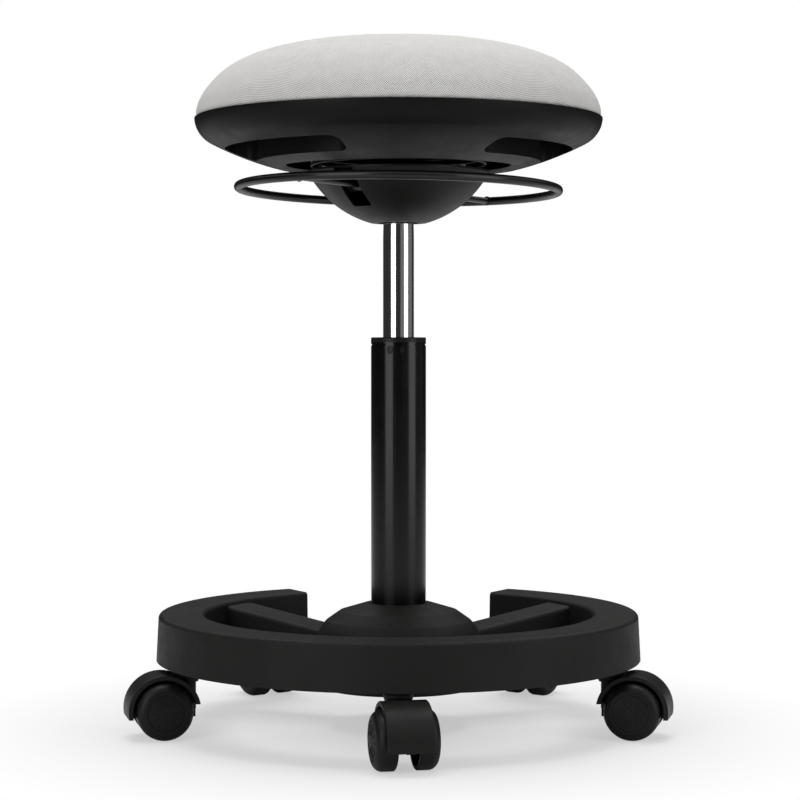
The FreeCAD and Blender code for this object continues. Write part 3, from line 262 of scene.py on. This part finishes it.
mouldGrain = makeMouldGrain()
handled = makeHandled()
dotMesh = makeDotMesh()
dustGrey = (0.32, 0.31, 0.29, 1)


def worn(board, shader, look, where):
    # The marks of use set the roughness, and their dust is handed back.
    wear = board.group(handled, Place=where, Level=look["roughness"], Spread=look["spread"],
                       Dust=look.get("dust", 0.0))
    board.wire(wear.outputs["Roughness"], shader.inputs["Roughness"])
    return wear.outputs["Dust"]


def mouldedFinish(name, look):
    # Plastic or rubber with a moulded grain.
    material, board, shader, where = newFinish(name, look)
    grain = board.group(mouldGrain, Place=where, Fineness=look["grain"])
    dust = worn(board, shader, look, where)
    swollen = tuple(v * look["swell"] for v in look["colour"]) + (1,)
    tone = board.blendColour(grain.outputs["Tone"], (*look["colour"], 1), swollen)
    tone = board.blendColour(dust, tone, dustGrey)
    layOn(board, shader, look, tone, grain.outputs["Height"])
    return material


def paintedFinish(name, look):
    # Powder coat or dip paint: a smooth film with a faint orange peel.
    material, board, shader, where = newFinish(name, look)
    dust = worn(board, shader, look, where)
    peel = board.noise(where, look["peel"])
    layOn(board, shader, look, board.blendColour(dust, (*look["colour"], 1), dustGrey), peel)
    return material


def metalFinish(name, look):
    # Bare or plated metal, drawn or turned along one axis.
    material, board, shader, where = newFinish(name, look)
    worn(board, shader, look, where)
    drawn = board.noise(board.stretch(where, look["lines"]), *look["drawn"])
    darker = tuple(v * look["shade"] for v in look["colour"]) + (1,)
    streaks = board.ramp(drawn, *look["streakRange"])
    tone = board.blendColour(streaks, darker, (*look["colour"], 1))
    layOn(board, shader, look, tone, drawn)
    return material


moulded = {
    "basePlastic": {"colour": (0.0080, 0.0078, 0.0074), "roughness": 0.54, "spread": 0.05, "specular": 0.14,
                    "grain": 900.0, "swell": 1.22, "bump": 0.5, "depth": 0.0004, "dust": 0.035},
    "shellPlastic": {"colour": (0.0040, 0.0039, 0.0037), "roughness": 0.42, "spread": 0.05, "specular": 0.10,
                     "grain": 1100.0, "swell": 1.2, "bump": 0.3, "depth": 0.0003, "dust": 0.01},
    "cupPlastic": {"colour": (0.0052, 0.0051, 0.0048), "roughness": 0.42, "spread": 0.05, "specular": 0.16,
                   "grain": 1200.0, "swell": 1.2, "bump": 0.25, "depth": 0.0003, "dust": 0.01},
    "castorPlastic": {"colour": (0.0080, 0.0078, 0.0074), "roughness": 0.44, "spread": 0.06, "specular": 0.16,
                      "grain": 1300.0, "swell": 1.2, "bump": 0.25, "depth": 0.0003, "dust": 0.025},
    "wheelPlastic": {"colour": (0.0068, 0.0068, 0.0072), "roughness": 0.40, "spread": 0.08, "specular": 0.16,
                     "grain": 1500.0, "swell": 1.25, "bump": 0.2, "depth": 0.0002, "dust": 0.03},
    "bushPlastic": {"colour": (0.0061, 0.0061, 0.0065), "roughness": 0.36, "spread": 0.04, "specular": 0.18,
                    "grain": 1600.0, "swell": 1.1, "bump": 0.12, "depth": 0.0002, "dust": 0.008},
    "linerNylon": {"colour": (0.70, 0.67, 0.58), "roughness": 0.38, "spread": 0.05, "specular": 0.5,
                   "grain": 1600.0, "swell": 0.93, "bump": 0.1, "depth": 0.0002, "dust": 0.008},
    "rubber": {"colour": (0.0061, 0.0061, 0.0061), "roughness": 0.72, "spread": 0.06, "specular": 0.14,
               "grain": 700.0, "swell": 1.3, "bump": 0.4, "depth": 0.0003, "dust": 0.02},
}

painted = {
    "columnPaint": {"colour": (0.0016, 0.0016, 0.0017), "roughness": 0.19, "spread": 0.03, "specular": 0.24,
                    "coat": 0.12, "coatRoughness": 0.16, "peel": 700.0, "bump": 0.10, "depth": 0.0003,
                    "dust": 0.008},
    "castMount": {"colour": (0.0053, 0.0053, 0.0057), "roughness": 0.52, "spread": 0.08, "specular": 0.18,
                  "coat": 0.0, "coatRoughness": 0.3, "peel": 420.0, "bump": 0.35, "depth": 0.0006,
                  "dust": 0.012},
    "platePaint": {"colour": (0.0046, 0.0046, 0.0049), "roughness": 0.42, "spread": 0.06, "specular": 0.19,
                   "coat": 0.1, "coatRoughness": 0.25, "peel": 800.0, "bump": 0.12, "depth": 0.0003,
                   "dust": 0.01},
    "ringPaint": {"colour": (0.0038, 0.0038, 0.0042), "roughness": 0.34, "spread": 0.05, "specular": 0.20,
                  "coat": 0.3, "coatRoughness": 0.18, "peel": 900.0, "bump": 0.10, "depth": 0.0002,
                  "dust": 0.008},
    "springPaint": {"colour": (0.0038, 0.0038, 0.0042), "roughness": 0.34, "spread": 0.05, "specular": 0.20,
                    "coat": 0.3, "coatRoughness": 0.18, "peel": 900.0, "bump": 0.10, "depth": 0.0002,
                    "dust": 0.01},
}

metals = {
    "chrome": {"colour": (0.80, 0.80, 0.81), "metallic": 1.0, "roughness": 0.075, "spread": 0.02,
               "lines": (60.0, 60.0, 900.0), "drawn": (1.0, 3.0, 0.6), "streakRange": (0.35, 0.65),
               "shade": 0.97, "bump": 0.02, "depth": 0.0001},
    "zincSteel": {"colour": (0.56, 0.57, 0.58), "metallic": 1.0, "roughness": 0.34, "spread": 0.07,
                  "lines": (500.0, 500.0, 90.0), "drawn": (1.0, 3.0, 0.6), "streakRange": (0.35, 0.65),
                  "shade": 0.82, "bump": 0.15, "depth": 0.0001},
}


woodLook = {
    "colour": (0.55, 0.40, 0.24), "roughness": 0.62, "plies": (9.0, 60.0, 700.0),
    "grain": (1.0, 4.0, 0.6), "grainRange": (0.3, 0.7), "dark": (0.42, 0.28, 0.15, 1),
    "light": (0.64, 0.48, 0.30, 1), "bump": 0.3, "depth": 0.0004,
}

foamLook = {
    "colour": (0.78, 0.73, 0.56), "roughness": 0.95, "specular": 0.2, "cells": 900.0,
    "cellRange": (0.1, 0.6), "dark": (0.60, 0.55, 0.40, 1), "light": (0.80, 0.75, 0.58, 1),
    "bump": 0.6, "depth": 0.0008,
}

fabricLook = {
    "colour": (0.69, 0.682, 0.665), "dot": (0.15, 0.147, 0.144, 1), "shaded": (0.63, 0.622, 0.606, 1),
    # The painted side shade range maps how far a face points up to how much of the dots' darkness shows: all of it
    # on the sides, less on top.
    "pitch": 0.0011, "openRange": (0.35, 1.0, 1.0, 0.30), "roughness": 0.92, "specular": 0.18,
    "bump": 0.35, "depth": 0.0005, "sheen": 0.12, "sheenRoughness": 0.5,
}


def boardWood():
    # Birch plywood: ply lines at the edge, grain on the faces.
    material, board, shader, where = newFinish("boardWood", woodLook)
    grain = board.noise(board.stretch(where, woodLook["plies"]), *woodLook["grain"])
    share = board.ramp(grain, *woodLook["grainRange"])
    layOn(board, shader, woodLook, board.blendColour(share, woodLook["dark"], woodLook["light"]),
          grain)
    return material


def seatFoam():
    # Moulded cushion foam: open cells in a cream colour.
    material, board, shader, where = newFinish("seatFoam", foamLook)
    cells = board.fed("ShaderNodeTexVoronoi", {"Vector": where, "Scale": foamLook["cells"]})
    share = board.ramp(cells.outputs["Distance"], *foamLook["cellRange"])
    layOn(board, shader, foamLook, board.blendColour(share, foamLook["dark"], foamLook["light"]),
          cells.outputs["Distance"])
    return material


def seatFabricFinish():
    # Light warm grey knitted mesh with dark dots, on the cloth's own map. The dots are the cloth's own, but they
    # show fully where the cloth faces sideways and fade where it faces up: painted shade that makes the sides
    # darker than the top.
    material, board, shader, where = newFinish("seatFabricMesh", fabricLook)
    board.wire(fabricLook["sheen"], shader.inputs["Sheen Weight"])
    board.wire(fabricLook["sheenRoughness"], shader.inputs["Sheen Roughness"])
    cloth = board.add("ShaderNodeUVMap", uv_map="cloth").outputs[0]
    mesh = board.group(dotMesh, Place=cloth, Pitch=fabricLook["pitch"]).outputs
    tone = board.blendColour(mesh["Slub"], fabricLook["shaded"], (*fabricLook["colour"], 1))
    # Painted shade: the dots' darkness is kept where the cloth faces sideways and cut back where it faces up.
    paintedSideShade = board.ramp(board.upness(), *fabricLook["openRange"])
    share = board.sum("MULTIPLY", mesh["Dot"], paintedSideShade)
    layOn(board, shader, fabricLook, board.blendColour(share, tone, fabricLook["dot"]),
          mesh["Height"])
    return material


finishes = {}
for make, looks in ((mouldedFinish, moulded), (paintedFinish, painted), (metalFinish, metals)):
    finishes.update({name: make(name, look) for name, look in looks.items()})
finishes["boardWood"] = boardWood()
finishes["foam"] = seatFoam()
finishes["seatFabric"] = seatFabricFinish()


def camel(words):
    first, *rest = words.split("_")
    return first + "".join(word.capitalize() for word in rest)


def dressFrame():
    # Gives each node of the frame the finish that its slot in the record names.
    for part in frame["record"]["subparts"]:
        node = frame["nodes"][part["node"]]
        node.data.materials.clear()
        node.data.materials.append(finishes[camel(part["material_slot"])])


dressFrame()
print("finishes made:", len(finishes))


# The seat's fabric, blown up a little over the foam and held at the rim

coverLow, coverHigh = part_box("seat_cover")

seatLook = {
    "edge": coverHigh.z - 0.0706,         # the fabric's lower edge, on the shell's rim
    "crown": (0.1206, 0.0112), "shoulder": (0.1788, 0.0475), "side": (0.1855, 0.0735),
    "sides": 96, "steps": 30, "run": 0.24, "fewest": 3,
    "sink": 0.0018, "shrink": 0.0034, "shrinkFrom": 0.05, "hemBand": 0.02, "hemShare": 0.4,
    "tuck": 0.0055, "tuckDrop": 0.0022, "halfTuck": (0.35, 0.8), "floorRings": 4, "floorStep": 0.2,
    "crownReach": 0.0001, "crownDepth": 0.02, "voxel": 0.005, "held": 0.004,
    "pressure": 4.0, "quality": 6, "stretchStiffness": 25, "bendStiffness": 2.0, "frames": 20,
    "cap": 0.0028, "relax": 0.5, "relaxTimes": 4,
}


def circleThrough(start, slope, end):
    # The arc that leaves start along a slope and meets end: its centre and radius, in R and Z.
    normal = Vector((slope.y, -slope.x))
    if normal.x > 0:
        normal = -normal
    gap = end - start
    radius = gap.length_squared / (2 * gap.dot(normal))
    return start + normal * radius, radius


def domeProfile(top, edge, shrink):
    # The dome from its crown to its edge, as points (R, Z) at even steps along three arcs.
    marks = [Vector((0, top))] + [Vector((r, coverHigh.z - drop)) for r, drop in
                                  (seatLook["crown"], seatLook["shoulder"], seatLook["side"])]
    slope = Vector((1, 0))
    points = [marks[0]]
    for start, end in zip(marks, marks[1:]):
        centre, radius = circleThrough(start, slope, end)
        first = math.atan2(start.y - centre.y, start.x - centre.x)
        last = math.atan2(end.y - centre.y, end.x - centre.x)
        if end is marks[-1]:
            last = math.asin((edge - centre.y) / radius)
        count = max(seatLook["fewest"],
                    round(seatLook["steps"] * radius * (first - last) / seatLook["run"]))
        for i in range(1, count + 1):
            angle = first + (last - first) * i / count
            points.append(centre + radius * Vector((math.cos(angle), math.sin(angle))))
        slope = Vector((-math.sin(last), math.cos(last))) * -1
    inward = []
    for point in points:
        pull = shrink * min(1, point.x / seatLook["shrinkFrom"])
        if point.y < edge + seatLook["hemBand"]:
            pull *= seatLook["hemShare"]
        inward.append(Vector((point.x - pull, point.y)))
    return points, inward


def seatDome():
    # A circle drawn down the dome's profile, tucked in at the edge and closed below.
    truth, line = domeProfile(coverHigh.z - seatLook["sink"], seatLook["edge"], seatLook["shrink"])
    letGo()
    first = line[1]
    bpy.ops.mesh.primitive_circle_add(vertices=seatLook["sides"], radius=first.x, fill_type="TRIFAN",
                                      location=(0, 0, first.y), enter_editmode=True)
    dome = started("seatFabric")
    bpy.ops.mesh.select_mode(type="EDGE")
    bpy.ops.mesh.select_all(action="DESELECT")
    bpy.ops.mesh.select_non_manifold()
    here = first
    tuck = [Vector((line[-1].x - seatLook["tuck"] * inShare,
                    seatLook["edge"] - seatLook["tuckDrop"] * downShare))
            for inShare, downShare in (seatLook["halfTuck"], (1, 1))]
    for point in line[2:] + tuck:
        bpy.ops.mesh.extrude_edges_move(TRANSFORM_OT_translate={"value": (0, 0, point.y - here.y)})
        bpy.ops.transform.resize(value=(point.x / here.x, point.x / here.x, 1),
                                 center_override=(0, 0, point.y))
        here = point
    bpy.ops.mesh.edge_face_add()
    bpy.ops.mesh.select_mode(type="FACE")
    for _ in range(seatLook["floorRings"]):
        bpy.ops.mesh.inset(thickness=here.x * seatLook["floorStep"])
    bpy.ops.mesh.poke()
    settle(dome)
    lowest = coverHigh.z - seatLook["crownDepth"]
    for vert in dome.data.vertices:
        if vert.co.xy.length < seatLook["crownReach"] and vert.co.z > lowest:
            vert.co.z = line[0].y
    return dome, truth


def blowUp(dome):
    # A cloth simulation fills the fabric, and no point moves further than the foam would let it.
    pick(dome)
    remesh = dome.modifiers.new("even", "REMESH")
    remesh.mode = "VOXEL"
    remesh.voxel_size = seatLook["voxel"]
    applyAll(dome)
    rest = [vert.co.copy() for vert in dome.data.vertices]
    held = dome.vertex_groups.new(name="held")
    heldBelow = seatLook["edge"] + seatLook["held"]
    held.add([v.index for v in dome.data.vertices if v.co.z < heldBelow], 1.0, "ADD")
    cloth = dome.modifiers.new("cloth", "CLOTH")
    settings = cloth.settings
    settings.use_pressure = True
    settings.uniform_pressure_force = seatLook["pressure"]
    settings.effector_weights.gravity = 0
    settings.vertex_group_mass = "held"
    settings.quality = seatLook["quality"]
    settings.tension_stiffness = settings.compression_stiffness = seatLook["stretchStiffness"]
    settings.bending_stiffness = seatLook["bendStiffness"]
    cloth.point_cache.frame_start = 1
    cloth.point_cache.frame_end = seatLook["frames"]
    scene = bpy.context.scene
    for number in range(1, seatLook["frames"] + 1):
        scene.frame_set(number)
    bpy.ops.object.modifier_apply(modifier=cloth.name)
    scene.frame_set(1)
    for vert, start in zip(dome.data.vertices, rest):
        move = vert.co - start
        if move.length > seatLook["cap"]:
            vert.co = start + move * (seatLook["cap"] / move.length)
    relax = dome.modifiers.new("relax", "SMOOTH")
    relax.factor = seatLook["relax"]
    relax.iterations = seatLook["relaxTimes"]
    finer = dome.modifiers.new("finer", "SUBSURF")
    finer.levels = finer.render_levels = 1
    applyAll(dome)


def layClothMap(dome, truth):
    # The cloth's own map: each point's distance from the crown along the dome, by its direction.
    heart = Vector((0, seatLook["edge"]))
    marks = []
    travelled = 0.0
    for i, point in enumerate(truth):
        if i:
            travelled += (point - truth[i - 1]).length
        marks.append((math.atan2(point.x - heart.x, point.y - heart.y), travelled))

    def distanceAt(radius, height):
        angle = math.atan2(radius, height - heart.y)
        for (a, s), (b, t) in zip(marks, marks[1:]):
            if angle <= b:
                return s + (t - s) * (angle - a) / (b - a)
        return marks[-1][1] + (marks[-1][0] - angle) * -radius

    mesh = dome.data
    layer = mesh.uv_layers.get("cloth") or mesh.uv_layers.new(name="cloth")
    spots = []
    for vert in mesh.vertices:
        radius = math.hypot(vert.co.x, vert.co.y)
        reach = distanceAt(radius, vert.co.z)
        share = reach / radius if radius > 1e-6 else 1.0
        spots.append((vert.co.x * share, vert.co.y * share))
    for loop in mesh.loops:
        layer.data[loop.index].uv = spots[loop.vertex_index]


def makeSeat():
    dome, truth = seatDome()
    blowUp(dome)
    layClothMap(dome, truth)
    smooth(dome, 60)
    dome.data.materials.append(finishes["seatFabric"])
    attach(dome, "seat")
    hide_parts("seat_cover", "seat_foam")
    return dome


seatPiece = makeSeat()
print("seat fabric made:", len(seatPiece.data.polygons), "faces")


# The wobble spring, in two halves that meet at the ball joint's height

springLow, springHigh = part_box("wobble_spring")

coilLook = {
    "wire": 0.0019, "turns": 7, "radius": springHigh.x - 0.0019, "sides": 16, "stepsPerTurn": 88,
}


def halfCoil(name, fromTurn, turns):
    # Part of the coil: a circle of wire screwed up round the column's axis.
    wire = coilLook["wire"]
    climb = (springHigh.z - springLow.z - 2 * wire) / coilLook["turns"]
    letGo()
    place = (coilLook["radius"], 0, springLow.z + wire + climb * fromTurn)
    bpy.ops.mesh.primitive_circle_add(vertices=coilLook["sides"], radius=wire, location=place,
                                      rotation=(math.pi / 2, 0, 0))
    coil = started(name)
    settle(coil)
    screw = coil.modifiers.new("wind", "SCREW")
    screw.angle = 2 * math.pi * turns
    screw.screw_offset = climb * turns
    screw.steps = screw.render_steps = round(coilLook["stepsPerTurn"] * turns)
    screw.use_merge_vertices = False
    applyAll(coil)
    bpy.ops.object.mode_set(mode="EDIT")
    bpy.ops.mesh.select_mode(type="EDGE")
    bpy.ops.mesh.select_all(action="DESELECT")
    bpy.ops.mesh.select_non_manifold()
    bpy.ops.mesh.edge_face_add()
    bpy.ops.mesh.select_all(action="SELECT")
    bpy.ops.mesh.normals_make_consistent(inside=False)
    letGo()
    turnTo = math.radians(360 * (fromTurn % 1))
    coil.data.transform(Matrix.Rotation(turnTo, 4, "Z"))
    smooth(coil, 50)
    coil.data.materials.append(finishes["springPaint"])
    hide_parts("wobble_spring")
    return coil


half = coilLook["turns"] / 2
coilLower = halfCoil("coilLower", 0, half)
coilUpper = halfCoil("coilUpper", half, half)
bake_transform(coilLower)
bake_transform(coilUpper)
print("coil made:", len(coilLower.data.polygons) * 2, "faces")


# Fine radial lines on the wheels' caps

capLook = {
    "outer": 0.028, "dome": 0.1007, "from": 0.0058, "to": 0.0138, "wide": 0.0007, "high": 0.0009,
    "proud": 0.00034, "count": 12, "castors": 5,
}


def makeCapLines():
    letGo()
    middle = (capLook["from"] + capLook["to"]) / 2
    sag = capLook["dome"] - math.sqrt(capLook["dome"] ** 2 - middle ** 2)
    place = (0, middle, capLook["proud"] - sag - capLook["high"] / 2)
    bpy.ops.mesh.primitive_cube_add(size=1, location=place,
                                    rotation=(-math.asin(middle / capLook["dome"]), 0, 0),
                                    scale=(capLook["wide"], capLook["to"] - capLook["from"], capLook["high"]))
    first = started("capLines")
    settle(first)
    bpy.ops.object.mode_set(mode="EDIT")
    bpy.ops.mesh.select_all(action="SELECT")
    for _ in range(1, capLook["count"]):
        bpy.ops.mesh.duplicate()
        bpy.ops.transform.rotate(value=2 * math.pi / capLook["count"], orient_axis="Z",
                                 center_override=(0, 0, 0))
    letGo()
    first.data.materials.append(finishes["wheelPlastic"])
    lines = []
    for number in range(1, capLook["castors"] + 1):
        for side in ("left", "right"):
            joint = joints["wheel_%d_%s_roll" % (number, side)]
            heart, along = Vector(joint["pos_m"]), Vector(joint["axis"]).normalized()
            low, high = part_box("castor_wheel_%d_%s" % (number, side))
            if ((low + high) / 2 - heart).dot(along) < 0:
                along = -along
            pick(first)
            bpy.ops.object.duplicate()
            copy = bpy.context.object
            copy.name = copy.data.name = "capLines%d%s" % (number, side.capitalize())
            copy.rotation_euler = along.to_track_quat("Z", "Y").to_euler()
            copy.location = heart + along * capLook["outer"]
            settle(copy)
            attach(copy, "wheel_%d_%s" % (number, side))
            lines.append(copy)
    pick(first)
    bpy.ops.object.delete()
    return lines


capLines = makeCapLines()
print("cap lines made:", len(capLines))


# Weld beads where the spokes meet the grip ring

weldLook = {
    "azimuth": -37, "reach": 0.1409, "around": 0.0031, "bead": 0.0013, "lean": 1.2, "rings": 40,
    "sides": 12, "rippleSize": 0.0016, "ripple": 0.0007, "rippleMiddle": 0.5,
}


def makeWelds():
    pivot = Vector(joints["ring_lift"]["pos_m"])
    low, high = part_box("hand_ring")
    azimuth = math.radians(weldLook["azimuth"])
    outward = Vector((math.sin(azimuth), -math.cos(azimuth), 0))
    lean = weldLook["lean"] if low.z + high.z < 2 * pivot.z else -weldLook["lean"]
    across = outward.cross(Vector((0, 0, 1)))
    turned = Matrix.Rotation(math.radians(lean), 4, across)
    leaning = Matrix.Translation(pivot) @ turned @ Matrix.Translation(-pivot)
    beads = []
    for number, way in enumerate((outward, -outward), 1):
        letGo()
        spot = way * weldLook["reach"] + Vector((0, 0, pivot.z))
        bpy.ops.mesh.primitive_torus_add(
            major_radius=weldLook["around"], minor_radius=weldLook["bead"],
            major_segments=weldLook["rings"], minor_segments=weldLook["sides"],
            location=leaning @ spot, rotation=way.to_track_quat("Z", "Y").to_euler())
        bead = started("weldBead%d" % number)
        settle(bead)
        ripple = bead.modifiers.new("ripple", "DISPLACE")
        cloud = bpy.data.textures.new("weldRipple", "CLOUDS")
        cloud.noise_scale = weldLook["rippleSize"]
        ripple.texture = cloud
        ripple.strength = weldLook["ripple"]
        ripple.mid_level = weldLook["rippleMiddle"]
        applyAll(bead)
        smooth(bead, 70)
        bead.data.materials.append(finishes["ringPaint"])
        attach(bead, "hand_ring")
        beads.append(bead)
    return beads


weldBeads = makeWelds()
print("weld beads made:", len(weldBeads))


# Camera at the photograph's place: its horizon is 55 pixels above the middle of the picture, and its
# focal length is 2200 pixels

cameraLook = {
    "place": (0.00136, -2.0, 0.346), "down": math.atan(55 / 2200), "lens": 99.0, "sensor": 36.0,
    "near": 0.05, "far": 60.0,
}


def makeCamera():
    letGo()
    bpy.ops.object.camera_add(location=cameraLook["place"],
                              rotation=(math.pi / 2 - cameraLook["down"], 0, 0))
    camera = bpy.context.object
    camera.data.lens = cameraLook["lens"]
    camera.data.sensor_width = cameraLook["sensor"]
    camera.data.clip_start = cameraLook["near"]
    camera.data.clip_end = cameraLook["far"]
    bpy.context.scene.camera = camera


makeCamera()


# Studio: a pale floor, a white surround, two curved cards, two tall soft boxes and one above

studio = {
    "ambient": 0.26, "floorSize": 16.0, "floorWhite": 0.93, "fade": (0.24, 0.42, 0.5, 1.0),
    "cardSides": 72, "aim": 0.3,
}

cards = [
    {"name": "darkRoom", "radius": 4.2, "low": -0.2, "high": 2.6, "from": -181, "to": 181,
     "glow": 0.03},
    {"name": "greyPanel", "radius": 4.0, "low": -0.2, "high": 2.2, "from": 17, "to": 122,
     "glow": 0.16},
]

softboxes = [
    {"name": "leftBox", "azimuth": -39, "distance": 2.6, "height": 0.95, "width": 1.7, "tall": 1.9,
     "power": 27},
    {"name": "rightBox", "azimuth": 59, "distance": 2.6, "height": 0.95, "width": 1.5, "tall": 1.9,
     "power": 21},
    {"name": "topBox", "azimuth": 180, "distance": 0.35, "height": 2.6, "width": 2.0, "tall": 2.0,
     "power": 44},
]


def makeWorld():
    world = bpy.data.worlds.new("paleStudio")
    world.use_nodes = True
    bpy.context.scene.world = world
    board = Board(world.node_tree)
    soft = board.fed("ShaderNodeBackground", {0: (1, 1, 1, 1), 1: studio["ambient"]})
    white = board.fed("ShaderNodeBackground", {0: (1, 1, 1, 1)})
    rays = board.add("ShaderNodeLightPath").outputs
    bounced = board.sum("MAXIMUM", rays["Is Glossy Ray"], rays["Is Transmission Ray"])
    seen = board.sum("MAXIMUM", rays["Is Camera Ray"], bounced)
    mix = board.fed("ShaderNodeMixShader", {0: seen, 1: soft.outputs[0], 2: white.outputs[0]})
    board.fed("ShaderNodeOutputWorld", {0: mix.outputs[0]})


def floorFinish():
    # White paper that keeps the stool's shadow and turns to plain white away from it.
    material = bpy.data.materials.new("paleFloor")
    material.use_nodes = True
    board = Board(material.node_tree)
    tone = studio["floorWhite"]
    paper = board.fed("ShaderNodeBsdfDiffuse", {0: (tone, tone, tone, 1)})
    glow = board.add("ShaderNodeEmission")
    where = board.add("ShaderNodeTexCoord").outputs["Object"]
    reach = board.fed("ShaderNodeVectorMath", {0: where}, operation="LENGTH").outputs["Value"]
    rays = board.add("ShaderNodeLightPath").outputs
    seen = board.sum("MAXIMUM", rays["Is Camera Ray"], rays["Is Transmission Ray"])
    share = board.sum("MULTIPLY", board.ramp(reach, *studio["fade"]), seen)
    mix = board.fed("ShaderNodeMixShader", {0: share, 1: paper.outputs[0], 2: glow.outputs[0]})
    board.fed("ShaderNodeOutputMaterial", {0: mix.outputs[0]})
    return material


def makeFloor():
    letGo()
    bpy.ops.mesh.primitive_plane_add(size=studio["floorSize"])
    floor = started("paleFloor")
    floor.data.materials.append(floorFinish())


def glowFinish(name, glow):
    material = bpy.data.materials.new(name)
    material.use_nodes = True
    board = Board(material.node_tree)
    shine = board.fed("ShaderNodeEmission", {1: glow})
    board.fed("ShaderNodeOutputMaterial", {0: shine.outputs[0]})
    return material


def makeCard(look):
    # A standing curved card that only reflections see: the dark room round the white table.
    letGo()
    bpy.ops.mesh.primitive_circle_add(vertices=studio["cardSides"], radius=look["radius"],
                                      location=(0, 0, look["low"]), enter_editmode=True)
    card = started(look["name"])
    bpy.ops.mesh.select_all(action="SELECT")
    rise = (0, 0, look["high"] - look["low"])
    bpy.ops.mesh.extrude_edges_move(TRANSFORM_OT_translate={"value": rise})
    letGo()
    settle(card)
    for face in card.data.polygons:
        azimuth = math.degrees(math.atan2(face.center.x, -face.center.y))
        face.select = not look["from"] < azimuth < look["to"]
    bpy.ops.object.mode_set(mode="EDIT")
    bpy.ops.mesh.select_mode(type="FACE")
    bpy.ops.mesh.delete(type="FACE")
    letGo()
    card.data.materials.append(glowFinish(look["name"], look["glow"]))
    card.visible_camera = card.visible_diffuse = card.visible_shadow = False
    card.visible_transmission = False


def makeLights():
    for box in softboxes:
        angle = math.radians(box["azimuth"])
        place = Vector((box["distance"] * math.sin(angle), -box["distance"] * math.cos(angle),
                        box["height"]))
        letGo()
        bpy.ops.object.light_add(type="AREA", location=place)
        lamp = bpy.context.object
        lamp.name = box["name"]
        lamp.data.shape = "RECTANGLE"
        lamp.data.size = box["width"]
        lamp.data.size_y = box["tall"]
        lamp.data.energy = box["power"]
        aim = Vector((0, 0, studio["aim"])) - place
        lamp.rotation_euler = aim.to_track_quat("-Z", "Y").to_euler()
        lamp.visible_camera = False


makeWorld()
makeFloor()
for card in cards:
    makeCard(card)
makeLights()
print("studio made")
